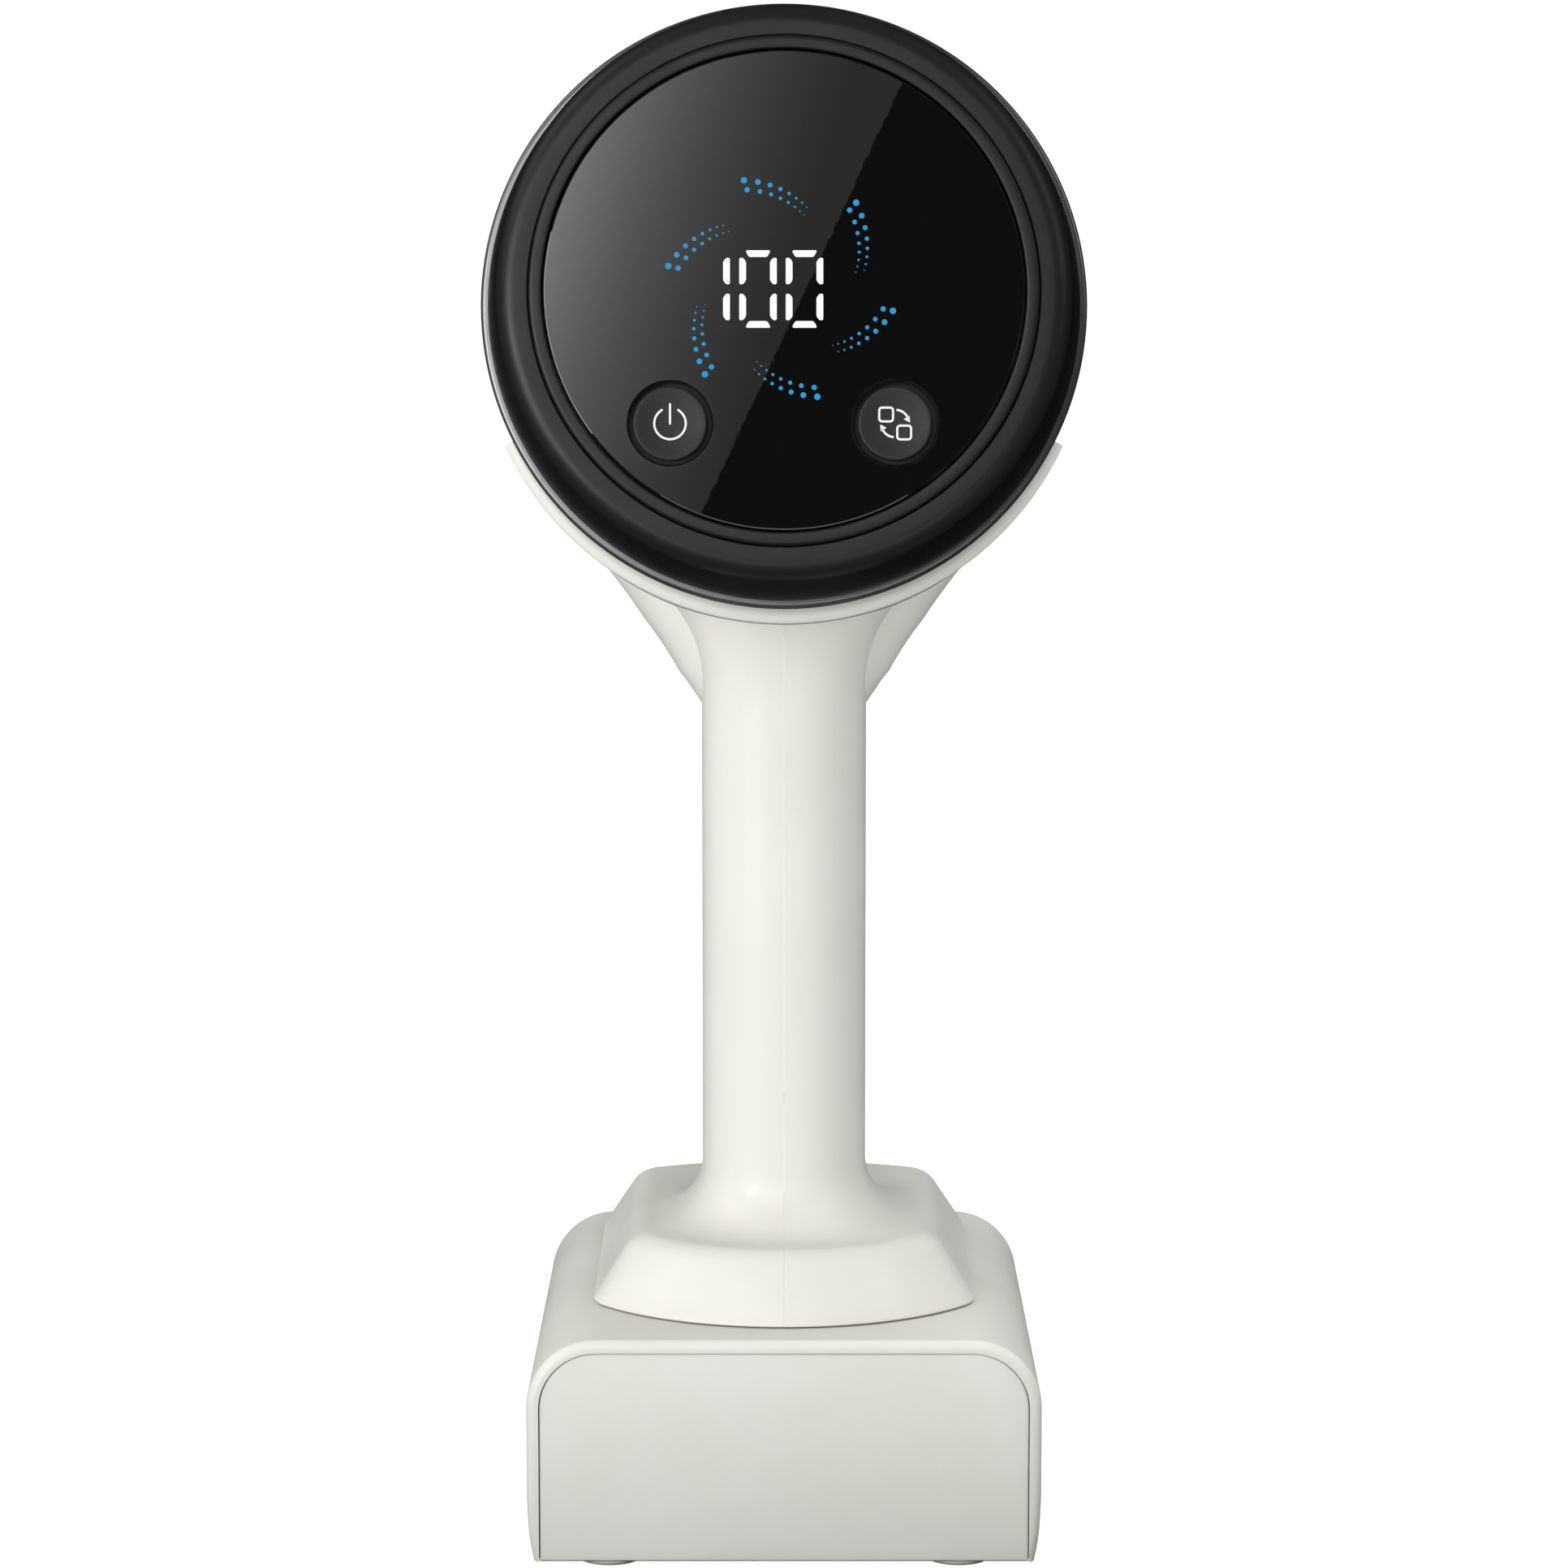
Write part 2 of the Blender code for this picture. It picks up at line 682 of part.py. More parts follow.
def handle_shells(unit, head):
    for side, sign in (("left", -1), ("right", 1)):
        shell = piece(f"handle_{side}_shell", loft(grip_sections()), unit, "cream_plastic")
        keel = piece(f"keel_{side}", loft(keel_sections()), unit)
        foot = piece(f"plinth_{side}", plinth(0.0, PLINTH_BOTTOM, PLINTH_TOP), unit)
        boolean(shell, keel, "UNION")
        boolean(shell, foot, "UNION")
        hollow = piece(f"grip_hollow_{side}", loft(grip_sections(WALL)), unit)
        boolean(shell, hollow)
        inner_keel = piece(f"keel_hollow_{side}", loft(keel_sections(WALL)), unit)
        boolean(shell, inner_keel)
        cavity = plinth(WALL, PLINTH_BOTTOM - 0.002, PLINTH_TOP - WALL)
        inner_foot = piece(f"plinth_hollow_{side}", cavity, unit)
        boolean(shell, inner_foot)
        hollow_for_cradle = [
            (0, -0.0100),
            (CRADLE_LIP_R + GAP, -0.0100),
            (CRADLE_LIP_R + GAP, CRADLE_REAR + 0.0040),
            (CRADLE_R + GAP, CRADLE_REAR + 0.0070),
            (CRADLE_FRONT_R + GAP, 0.0895),
            (CRADLE_FRONT_R + GAP, 0.1300),
            (0, 0.1300),
        ]
        seat = piece(f"cradle_seat_{side}", spun(hollow_for_cradle, closed=False), head)
        boolean(shell, seat)
        near, far = sorted((sign * GAP / 2, -sign * 0.08))
        other_half = box((near, -0.05, 0.0), (far, 0.20, 0.30))
        boolean(shell, piece(f"other_half_{side}", other_half, unit))
        for z in SCREW_HEIGHTS:
            low, high = sorted((sign * GAP / 2, sign * 0.0150))
            boss = rod(0.0034, (low, SCREW_Y, z), (high, SCREW_Y, z), "X", 12)
            boolean(shell, piece(f"boss_{side}_{z:.3f}", boss, unit), "UNION")
            bore = turned_along_x(stepped(0.0014, 0.0028, -0.0100, 0.0101, 0.0300))
            boolean(shell, piece(f"screw_bore_{side}_{z:.3f}", bore, unit, None, (0, SCREW_Y, z)))
        low, high = sorted((sign * RAIL_STEM_X, sign * RAIL_HOOK_X))
        exit_slot = box((low - 0.0006, 0.0950, 0.0400), (high + 0.0005, 0.1200, RAIL_TOP + 0.0004))
        boolean(shell, piece(f"rail_exit_{side}", exit_slot, unit))
        way = TERMINAL_HALF_WIDTH + 0.0005
        terminal_way = box((-way, 0.0950, 0.0400), (way, 0.1200, RAIL_TOP + 0.0004))
        boolean(shell, piece(f"terminal_exit_{side}", terminal_way, unit))


def handle_fittings(unit):
    """What the two shells hold: screws, rail channels, the connector and the control board."""
    for level, z in zip(("lower", "upper"), SCREW_HEIGHTS):
        screw = turned_along_x(stepped(0.0011, 0.0024, -0.0085, 0.0104, 0.0124))
        piece(f"handle_screw_{level}", screw, unit, "steel", (0, SCREW_Y, z))

    outer, lip = RAIL_HOOK_X + 0.0023, RAIL_STEM_X + RAIL_STEM_WIDTH + GAP
    floor, inner_x = PLINTH_BOTTOM + GAP, RAIL_HOOK_X + GAP
    for side, sign in (("left", -1), ("right", 1)):
        section = [
            (lip, floor),
            (outer, floor),
            (outer, RAIL_TOP + 0.0020),
            (RAIL_STEM_X - 0.0015, RAIL_TOP + 0.0020),
            (RAIL_STEM_X - 0.0015, RAIL_TOP + GAP),
            (inner_x, RAIL_TOP + GAP),
            (inner_x, RAIL_HOOK_Z - GAP),
            (lip, RAIL_HOOK_Z - GAP),
        ]
        channel = prism([(sign * x, z) for x, z in section], 0.0340, 0.0930)
        piece(f"rail_channel_{side}", channel, unit, "graphite_plastic")

    socket = box((-0.0090, 0.0360, 0.0440), (0.0090, 0.0460, 0.0505))
    connector = piece("battery_connector", socket, unit, "graphite_plastic")
    slot = box((-0.0065, 0.0383, 0.0461), (0.0065, 0.0500, 0.0485))
    boolean(connector, piece("connector_slot", slot, unit))
    board = box((-0.0120, 0.0560, 0.0505), (0.0120, 0.0900, 0.0519))
    piece("control_board", board, unit, "circuit_green")


# Battery pack


def pack_outline(inset=0.0, tuck=0.0):
    """Section with a rounded top, from the left foot over to the right. Its sides tuck in at the foot."""
    half = PACK_HALF_WIDTH - inset
    top, corner = PACK_TOP - inset, PACK_CORNER - inset
    turn = arc((half - corner, top - corner), corner, 0, 90, 6)
    right = [(half - tuck, PACK_BOTTOM), (half - tuck * 0.4, 0.0045), (half, 0.0110)] + turn
    return [(-x, z) for x, z in right] + [(x, z) for x, z in reversed(right)]


def sleeve_loop(y, shrink):
    outer = pack_outline(shrink, PACK_TUCK)
    inner = pack_outline(PACK_WALL)
    return [(x, y, z) for x, z in outer] + [(x, y, z) for x, z in reversed(inner)]


def battery_sleeve(unit):
    """The pack's cover: both sides and the top in one, with its hooked rails and the latch's window."""
    ease = 0.0007
    loops = [sleeve_loop(0.0, ease), sleeve_loop(ease, 0.0)]
    loops += [sleeve_loop(PACK_LENGTH - ease, 0.0), sleeve_loop(PACK_LENGTH, ease)]
    sleeve = piece("battery_sleeve", loft(loops), unit, "cream_plastic")
    for side, sign in (("left", -1), ("right", 1)):
        section = [
            (RAIL_STEM_X, PACK_TOP - 0.0010),
            (RAIL_STEM_X + RAIL_STEM_WIDTH, PACK_TOP - 0.0010),
            (RAIL_STEM_X + RAIL_STEM_WIDTH, RAIL_HOOK_Z),
            (RAIL_HOOK_X, RAIL_HOOK_Z),
            (RAIL_HOOK_X, RAIL_TOP),
            (RAIL_STEM_X, RAIL_TOP),
        ]
        rail = prism([(sign * x, z) for x, z in section], 0.0360, 0.0920)
        boolean(sleeve, piece(f"rail_{side}", rail, unit), "UNION")
        near, far = sorted((sign * (PRONG_X[0] - 0.0004), sign * (PRONG_X[1] + 0.0004)))
        window = box((near, 0.1022, 0.0350), (far, 0.1068, 0.0450))
        boolean(sleeve, piece(f"prong_window_{side}", window, unit))


def panel(y, thickness):
    """An end panel, which drops to the bottom between the sleeve's sides."""
    return prism(pack_outline(PACK_WALL + GAP), y, y + thickness)


def battery_panels(unit):
    piece("battery_rear_panel", panel(GAP, 0.0022), unit, "cream_plastic")
    front = piece("battery_front_panel", panel(PACK_LENGTH - GAP - 0.0022, 0.0022), unit, "cream_plastic")
    hole = box((-0.0108, 0.1000, 0.0182), (0.0108, 0.1200, 0.0308))
    boolean(front, piece("release_hole", hole, unit))
    half = PACK_HALF_WIDTH - PACK_WALL - GAP
    low, high = (-half, 0.0028, PACK_BOTTOM), (half, PACK_LENGTH - 0.0028, 0.0030)
    piece("battery_base", box(low, high), unit, "cream_plastic")


def battery_inside(unit):
    half = CELL_LENGTH / 2
    for level, z in enumerate((0.0033 + CELL_R, 0.0037 + CELL_R * 3)):
        for i in range(3):
            y = 0.0350 + CELL_PITCH * i
            cell = rod(CELL_R, (-half, y, z), (half, y, z), "X", 16)
            piece(f"battery_cell_{level * 3 + i + 1}", cell, unit, "cell_blue")
    low_y, high_y = 0.0250, 0.0830
    for side, sign in (("left", -1), ("right", 1)):
        near, far = sorted((sign * (half + GAP), sign * (half + 0.0023)))
        plate = box((near, low_y, 0.0033), (far, high_y, 0.0400))
        piece(f"cell_holder_{side}", plate, unit, "graphite_plastic")
    board = box((0.0362, 0.0280, 0.0060), (0.0378, 0.0800, 0.0360))
    piece("battery_management_board", board, unit, "circuit_green")
    blade = [
        (0.0390, 0.0464),
        (0.0463, 0.0464),
        (0.0463, PACK_TOP + GAP),
        (0.0540, PACK_TOP + GAP),
        (0.0540, 0.0490),
        (0.0463, 0.0490),
        (0.0463, 0.0482),
        (0.0390, 0.0482),
    ]
    terminal = prism(blade, -TERMINAL_HALF_WIDTH, TERMINAL_HALF_WIDTH, "X")
    piece("pack_terminal", terminal, unit, "contact_brass")


def battery_release(unit):
    """The button is pushed into the pack, which pulls the latch down out of the plinth."""
    button = box((-0.0104, 0.1072, 0.0186), (0.0104, 0.1141, 0.0304))
    piece("battery_release_button", button, unit, "graphite_plastic")
    low, high = 0.0345, PACK_TOP - PACK_WALL - 0.0010
    bar = box((-PRONG_X[1], 0.1026, low), (PRONG_X[1], 0.1064, high))
    latch = piece("battery_latch", bar, unit, "graphite_plastic")
    for side, sign in (("left", -1), ("right", 1)):
        near, far = sorted((sign * PRONG_X[0], sign * PRONG_X[1]))
        hook = [
            (0.1026, high - 0.0010),
            (0.1064, high - 0.0010),
            (0.1064, PACK_TOP + 0.0004),
            (0.1045, PACK_TOP + LATCH_REACH),
            (0.1026, PACK_TOP + LATCH_REACH),
        ]
        boolean(latch, piece(f"prong_{side}", prism(hook, near, far, "X"), unit), "UNION")


def feet(unit):
    """Domed pads under the corners."""
    for row, y in (("rear", 0.0064), ("front", 0.1071)):
        for side, x in (("left", -0.0327), ("right", 0.0327)):
            loops = []
            for z, radius in ((0.0, 0.0057), (0.0002, 0.0060), (PACK_BOTTOM - GAP, 0.0061)):
                loops.append([(radius * math.cos(t), radius * math.sin(t), z) for t in foot_angles()])
            piece(f"foot_{row}_{side}", loft(loops), unit, "foot_rubber", (x, y, 0))


def foot_angles():
    return [math.tau * i / 16 for i in range(16)]


def main():
    clear_scene()
    unit = frame("unit", location=(0, REAR_FACE_Y, 0))
    head = frame("head", unit, (0, 0, HEAD_Z), -TILT)
    display(head)
    buttons(head)
    filter_unit(head)
    motor(head)
    cradle(head)
    cup_release(head)
    cyclone(head)
    dust_cup(head)
    inlet(head)
    handle_shells(unit, head)
    handle_fittings(unit)
    battery_sleeve(unit)
    battery_panels(unit)
    battery_inside(unit)
    battery_release(unit)
    feet(unit)


main()
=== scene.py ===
"""Hand unit of a cordless stick vacuum cleaner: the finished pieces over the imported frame.

Metres, +Z up. The head's pieces are modelled in the head's own frame, X to the right, Y forward along
the axis, Z up, and placed by HEAD. The handle and battery are modelled from the rear face of the pack
and placed by UNIT.
"""

import math

import bmesh
import bpy
from bpy.props import FloatProperty, FloatVectorProperty, IntProperty, PointerProperty
from mathutils import Matrix, Vector


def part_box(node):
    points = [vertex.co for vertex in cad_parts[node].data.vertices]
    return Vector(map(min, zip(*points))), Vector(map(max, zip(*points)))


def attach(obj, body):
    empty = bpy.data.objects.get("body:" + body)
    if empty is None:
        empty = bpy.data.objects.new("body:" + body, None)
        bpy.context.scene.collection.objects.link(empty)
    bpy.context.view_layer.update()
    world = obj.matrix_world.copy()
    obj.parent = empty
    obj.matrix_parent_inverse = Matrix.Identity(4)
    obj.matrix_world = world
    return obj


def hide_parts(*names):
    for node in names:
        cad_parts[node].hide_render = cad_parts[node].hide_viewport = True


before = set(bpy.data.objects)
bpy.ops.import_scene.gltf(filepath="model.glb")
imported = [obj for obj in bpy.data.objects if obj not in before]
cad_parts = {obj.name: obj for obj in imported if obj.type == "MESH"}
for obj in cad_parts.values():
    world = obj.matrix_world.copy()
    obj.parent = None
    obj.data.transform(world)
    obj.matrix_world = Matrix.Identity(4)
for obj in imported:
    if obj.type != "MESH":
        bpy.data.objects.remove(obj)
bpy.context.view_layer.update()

bl_info = {
    "name": "Cordless hand unit", "version": (1, 0, 0), "blender": (4, 5, 0),
    "location": "View3D > Sidebar > Hand unit",
    "description": "Builds the finished pieces of a cordless hand unit", "category": "Add Mesh",
}

GAP = 0.0003
LIT_DEPTH = 0.00004  # of a lit digit or dot
TILT = math.radians(9.0)
RING_MIDDLE = 0.0018  # the trim ring's middle, along the head's axis

low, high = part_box("trim_ring")
HEAD = (
    Matrix.Translation((low + high) / 2)
    @ Matrix.Rotation(-TILT, 4, "X")
    @ Matrix.Translation((0, -RING_MIDDLE, 0))
)
UNIT = Matrix.Translation((0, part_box("battery_sleeve")[0].y, 0))


# Sizes and colours


def size(name, description, default):
    return FloatProperty(name=name, description=description, default=default, unit="LENGTH", precision=5)


def colour(name, description, default):
    return FloatVectorProperty(
        name=name, description=description, default=default, subtype="COLOR", size=3, min=0, max=1
    )


class HeadSizes(bpy.types.PropertyGroup):
    rim_radius: size("Rim radius", "Outside of the trim ring, the widest ring of the head", 0.0549)
    cap_radius: size("Cap radius", "Outside of the rear cap where it meets the trim ring", 0.0536)
    cap_shoulder: size("Cap shoulder", "Radius that the cap tapers to at its rear", 0.0508)
    cap_rear: size("Cap rear", "Rear face of the cap, along the axis", -0.0216)
    cap_fillet: size("Cap fillet", "Round between the cap's rear face and its side", 0.0032)
    bezel_radius: size("Bezel radius", "Outside of the ring around the display", 0.04515)
    glass_radius: size("Glass radius", "Outside of the display's glass", 0.04255)
    glass_rear: size("Glass rear", "Rear face of the glass, along the axis", -0.0225)
    button_radius: size("Button radius", "Outside of a button's cap", 0.0065)
    button_hole: size("Button hole", "Hole in the glass around a button", 0.0073)
    button_drop: size("Button drop", "Buttons below the middle of the display", 0.0236)
    power_x: size("Power button", "Power button, from the middle of the display", -0.0201)
    mode_x: size("Mode button", "Mode button, from the middle of the display", 0.0196)
    barrel_radius: size("Barrel radius", "Outside of the motor's barrel", 0.0524)
    cradle_radius: size("Cradle lip", "Outside of the cradle's rolled lip", 0.0567)
    cup_radius: size("Cup radius", "Outside of the dust cup", 0.0504)
    inlet_radius: size("Inlet radius", "Outside of the inlet's rear part", 0.0173)
    steps: IntProperty(name="Ring steps", description="Sides of the large rings", default=160, min=24)


class DisplaySizes(bpy.types.PropertyGroup):
    digit_height: size("Digit height", "Height of a digit", 0.0137)
    digit_width: size("Digit width", "Width of a digit", 0.00661)
    digit_pitch: size("Digit pitch", "From one digit to the next", 0.00820)
    stroke: size("Stroke", "Width of a digit's bars", 0.00119)
    swirl_radius: size("Swirl radius", "Outermost dots of the swirl, from its middle", 0.0202)
    arms: IntProperty(name="Arms", description="Arms of the swirl", default=6, min=1)
    dots: IntProperty(name="Dots", description="Dots along each row of an arm", default=8, min=2)
    icon_stroke: size("Icon stroke", "Width of the lines of a button's icon", 0.00038)


class HandleSizes(bpy.types.PropertyGroup):
    half_width: size("Half width", "Half the grip's width", 0.0159)
    rear: size("Rear", "Rear of the grip, from the pack's rear face", 0.0345)
    front: size("Front", "Front of the grip, from the pack's rear face", 0.0765)
    plinth_bottom: size("Plinth bottom", "Underside of the plinth", 0.04335)
    plinth_top: size("Plinth top", "Top of the plinth", 0.0560)
    plinth_half_width: size("Plinth half width", "Half the plinth's width", 0.0369)
    plinth_slope: size("Plinth slope", "How far the plinth's sides lean in", 0.0080)
    wall: size("Wall", "Thickness of the moulded walls", 0.0022)


class PackSizes(bpy.types.PropertyGroup):
    half_width: size("Half width", "Half the pack's width", 0.0481)
    length: size("Length", "Length of the pack, front to rear", 0.1135)
    top: size("Top", "Top of the pack", 0.04305)
    bottom: size("Bottom", "Bottom edge of the sleeve", 0.0008)
    corner: size("Corner", "Round of the sleeve's top corners", 0.0130)
    wall: size("Wall", "Thickness of the sleeve", 0.0023)
    tuck: size("Tuck", "How far the sleeve's sides tuck in at the foot", 0.0013)
    end_round: size("End round", "Round of the sleeve's end edges", 0.0017)


class Colours(bpy.types.PropertyGroup):
    cream: colour("Cream plastic", "Body mouldings", (0.80, 0.79, 0.735))
    gloss: colour("Black gloss", "Cap and bezel", (0.012, 0.012, 0.013))
    silver: colour("Silver", "Trim ring", (0.30, 0.296, 0.30))
    graphite: colour("Graphite", "Dark mouldings", (0.055, 0.056, 0.060))
    smoke: colour("Smoke", "Dust cup", (0.52, 0.53, 0.56))
    swirl: colour("Swirl", "Lit dots of the display", (0.036, 0.352, 0.716))
    digits: colour("Digits", "Lit digits of the display", (1.0, 1.0, 1.0))


# Finishes


def node(tree, kind, inputs=None, **settings):
    """A shader node with its settings, and each input linked from a socket or set to a value."""
    made = tree.nodes.new(f"ShaderNode{kind}")
    for name, value in settings.items():
        setattr(made, name, value)
    for name, value in (inputs or {}).items():
        if isinstance(value, bpy.types.NodeSocket):
            tree.links.new(value, made.inputs[name])
        else:
            made.inputs[name].default_value = value
    return made


def maths(tree, operation, first, second):
    return node(tree, "Math", {0: first, 1: second}, operation=operation).outputs[0]


def mapped(tree, value, low, high, to_low=0.0, to_high=1.0, **settings):
    """A value carried from one range to another."""
    inputs = {"Value": value, "From Min": low, "From Max": high, "To Min": to_low, "To Max": to_high}
    return node(tree, "MapRange", inputs, **settings).outputs["Result"]


def blended(tree, share, first, second):
    """One tone turning into another as the share grows."""
    return node(tree, "Mix", {0: share, 6: first, 7: second}, data_type="RGBA").outputs[2]


def noise(tree, place, scale, detail, distortion=0.0):
    inputs = {"Vector": place, "Scale": scale, "Detail": detail, "Distortion": distortion}
    return node(tree, "TexNoise", inputs).outputs["Fac"]


SOCKETS = {type(None): "NodeSocketVector", float: "NodeSocketFloat", tuple: "NodeSocketColor"}


def new_group(name, inputs, outputs):
    """An empty node group with named sockets. Returns the group, what it is given and what it returns."""
    group = bpy.data.node_groups.new(name, "ShaderNodeTree")
    for label, default in inputs.items():
        socket = group.interface.new_socket(name=label, in_out="INPUT", socket_type=SOCKETS[type(default)])
        if default is not None:
            socket.default_value = default
    for label in outputs:
        kind = SOCKETS[tuple if label == "Color" else float]
        group.interface.new_socket(name=label, in_out="OUTPUT", socket_type=kind)
    return group, group.nodes.new("NodeGroupInput").outputs, group.nodes.new("NodeGroupOutput").inputs


def grain_group():
    """Height of a moulded or blasted surface: fine grain with a faint broader ripple."""
    group, given, result = new_group(
        "surface grain", {"Vector": None, "Scale": 2500.0, "Ripple": 0.3}, ["Height"]
    )
    fine = noise(group, given["Vector"], given["Scale"], 3.0)
    broad = noise(group, given["Vector"], 90.0, 1.0)
    ripple = maths(group, "MULTIPLY", broad, given["Ripple"])
    group.links.new(maths(group, "ADD", fine, ripple), result["Height"])
    return group


def tone_group():
    """A colour that wanders between two tones."""
    pale, dark = (0.8, 0.8, 0.8, 1.0), (0.7, 0.7, 0.7, 1.0)
    inputs = {"Vector": None, "Scale": 30.0, "Tone": pale, "Second tone": dark}
    group, given, result = new_group("tone variation", inputs, ["Color", "Mask"])
    cloud = noise(group, given["Vector"], given["Scale"], 4.0)
    share = mapped(group, cloud, 0.35, 0.65, interpolation_type="SMOOTHSTEP")
    group.links.new(blended(group, share, given["Tone"], given["Second tone"]), result["Color"])
    group.links.new(share, result["Mask"])
    return group


def wear_group():
    """A mask of the edges that hands and tables rub, broken up by noise."""
    inputs = {"Vector": None, "Radius": 0.0006, "Amount": 0.5}
    group, given, result = new_group("edge wear", inputs, ["Mask"])
    softened = node(group, "Bevel", {"Radius": given["Radius"]}, samples=4).outputs["Normal"]
    plain = node(group, "NewGeometry").outputs["Normal"]
    same = node(group, "VectorMath", {0: softened, 1: plain}, operation="DOT_PRODUCT")
    edge = mapped(group, same.outputs["Value"], 0.995, 0.90)
    patch = mapped(group, noise(group, given["Vector"], 260.0, 5.0), 0.35, 0.7)
    worn = maths(group, "MULTIPLY", edge, patch)
    group.links.new(maths(group, "MULTIPLY", worn, given["Amount"]), result["Mask"])
    return group


def handling_group():
    """Roughness between two values, with the soft smears that hands leave."""
    inputs = {"Vector": None, "Smoothest": 0.3, "Roughest": 0.5}
    group, given, result = new_group("handling marks", inputs, ["Roughness"])
    smear = noise(group, given["Vector"], 55.0, 6.0, 0.6)
    value = mapped(group, smear, 0.3, 0.7, given["Smoothest"], given["Roughest"])
    group.links.new(value, result["Roughness"])
    return group


GROUPS = {"grain": grain_group, "tone": tone_group, "wear": wear_group, "handling": handling_group}


def effect(tree, name, inputs):
    """Places one of the shared groups, which is made the first time it is asked for."""
    group = GROUPS[name]
    if callable(group):
        group = GROUPS[name] = group()
    return node(tree, "Group", inputs, node_tree=group).outputs


def rgba(tone, share=1.0):
    return (tone[0] * share, tone[1] * share, tone[2] * share, 1.0)


def opened(made):
    """A material's tree, its shader's inputs and the object's own coordinates."""
    tree = made.node_tree
    return tree, tree.nodes["Principled BSDF"].inputs, node(tree, "TexCoord").outputs["Object"]


def surfaced(
    name, tone, second=None, roughness=(0.35, 0.5), metallic=0.0, grain=2500.0, depth=0.08, ripple=0.3,
    tone_scale=30.0, wear=0.3, wear_tone=None, wear_radius=0.0006, coat=0.0, coat_roughness=0.05,
    stretch=(1.0, 1.0, 1.0), specular=0.5,
):
    """A moulded, blasted or brushed surface: tone variation, worn edges, handling marks and grain."""
    made = bpy.data.materials.new(name)
    made.use_nodes = True
    tree, shader, where = opened(made)
    place = node(tree, "Mapping", {"Vector": where, "Scale": stretch}).outputs[0]
    second = rgba(second) if second else rgba(tone, 0.93)
    tones = {"Vector": place, "Scale": tone_scale, "Tone": rgba(tone), "Second tone": second}
    base = effect(tree, "tone", tones)["Color"]
    worn = effect(tree, "wear", {"Vector": place, "Amount": wear, "Radius": wear_radius})["Mask"]
    rubbed = wear_tone or [min(1.0, channel * 1.25 + 0.02) for channel in tone]
    tree.links.new(blended(tree, worn, base, rgba(rubbed)), shader["Base Color"])
    marks = effect(tree, "handling", {"Vector": place, "Smoothest": roughness[0], "Roughest": roughness[1]})
    tree.links.new(marks["Roughness"], shader["Roughness"])
    height = effect(tree, "grain", {"Vector": place, "Scale": grain, "Ripple": ripple})["Height"]
    bump = node(tree, "Bump", {"Height": height, "Strength": depth, "Distance": 0.0002})
    tree.links.new(bump.outputs["Normal"], shader["Normal"])
    shader["Metallic"].default_value = metallic
    shader["Coat Weight"].default_value = coat
    shader["Coat Roughness"].default_value = coat_roughness
    shader["Specular IOR Level"].default_value = specular
    return made


def lit(name, tone, strength):
    """A lit segment or dot, a little uneven as light through a mask is."""
    made = surfaced(name, [c * 0.08 for c in tone], roughness=(0.5, 0.6), wear=0.0, depth=0.02, specular=0.1)
    tree, shader, where = opened(made)
    tones = {"Vector": where, "Scale": 400.0, "Tone": rgba(tone), "Second tone": rgba(tone, 0.94)}
    tree.links.new(effect(tree, "tone", tones)["Color"], shader["Emission Color"])
    shader["Emission Strength"].default_value = strength
    return made


def smoked(name, tone):
    """Smoke-tinted clear plastic, a little hazed by dust."""
    made = surfaced(name, tone, roughness=(0.04, 0.14), wear=0.25, depth=0.01, tone_scale=25.0)
    shader = made.node_tree.nodes["Principled BSDF"].inputs
    shader["Transmission Weight"].default_value = 0.92
    shader["IOR"].default_value = 1.49
    return made


def board(name, tone):
    """Circuit board: solder mask with paler tracks."""
    made = surfaced(name, tone, roughness=(0.35, 0.45), wear=0.1, depth=0.03)
    tree, shader, where = opened(made)
    tracks = node(tree, "TexVoronoi", {"Vector": where, "Scale": 420.0}, distance="MANHATTAN")
    line = mapped(tree, tracks.outputs["Distance"], 0.35, 0.4)
    paler = rgba([c * 1.7 + 0.02 for c in tone])
    tree.links.new(blended(tree, line, rgba(tone), paler), shader["Base Color"])
    return made


def perforated(name, tone):
    """Fine steel screen: rows of holes drawn in height, with painted shade, near black, in the eye of each
    hole.
    """
    made = surfaced(name, tone, roughness=(0.25, 0.4), metallic=1.0, wear=0.2)
    tree, shader, where = opened(made)
    holes = node(tree, "TexVoronoi", {"Vector": where, "Scale": 900.0, "Randomness": 0.0})
    eye = mapped(tree, holes.outputs["Distance"], 0.30, 0.36)
    # painted shade: the eye of each drawn hole is coloured near black for the dark seen through a hole
    tree.links.new(blended(tree, eye, (0.01, 0.01, 0.01, 1), rgba(tone)), shader["Base Color"])
    tree.links.new(eye, shader["Metallic"])
    bump = node(tree, "Bump", {"Height": eye, "Strength": 0.6, "Distance": 0.0002})
    tree.links.new(bump.outputs["Normal"], shader["Normal"])
    return made


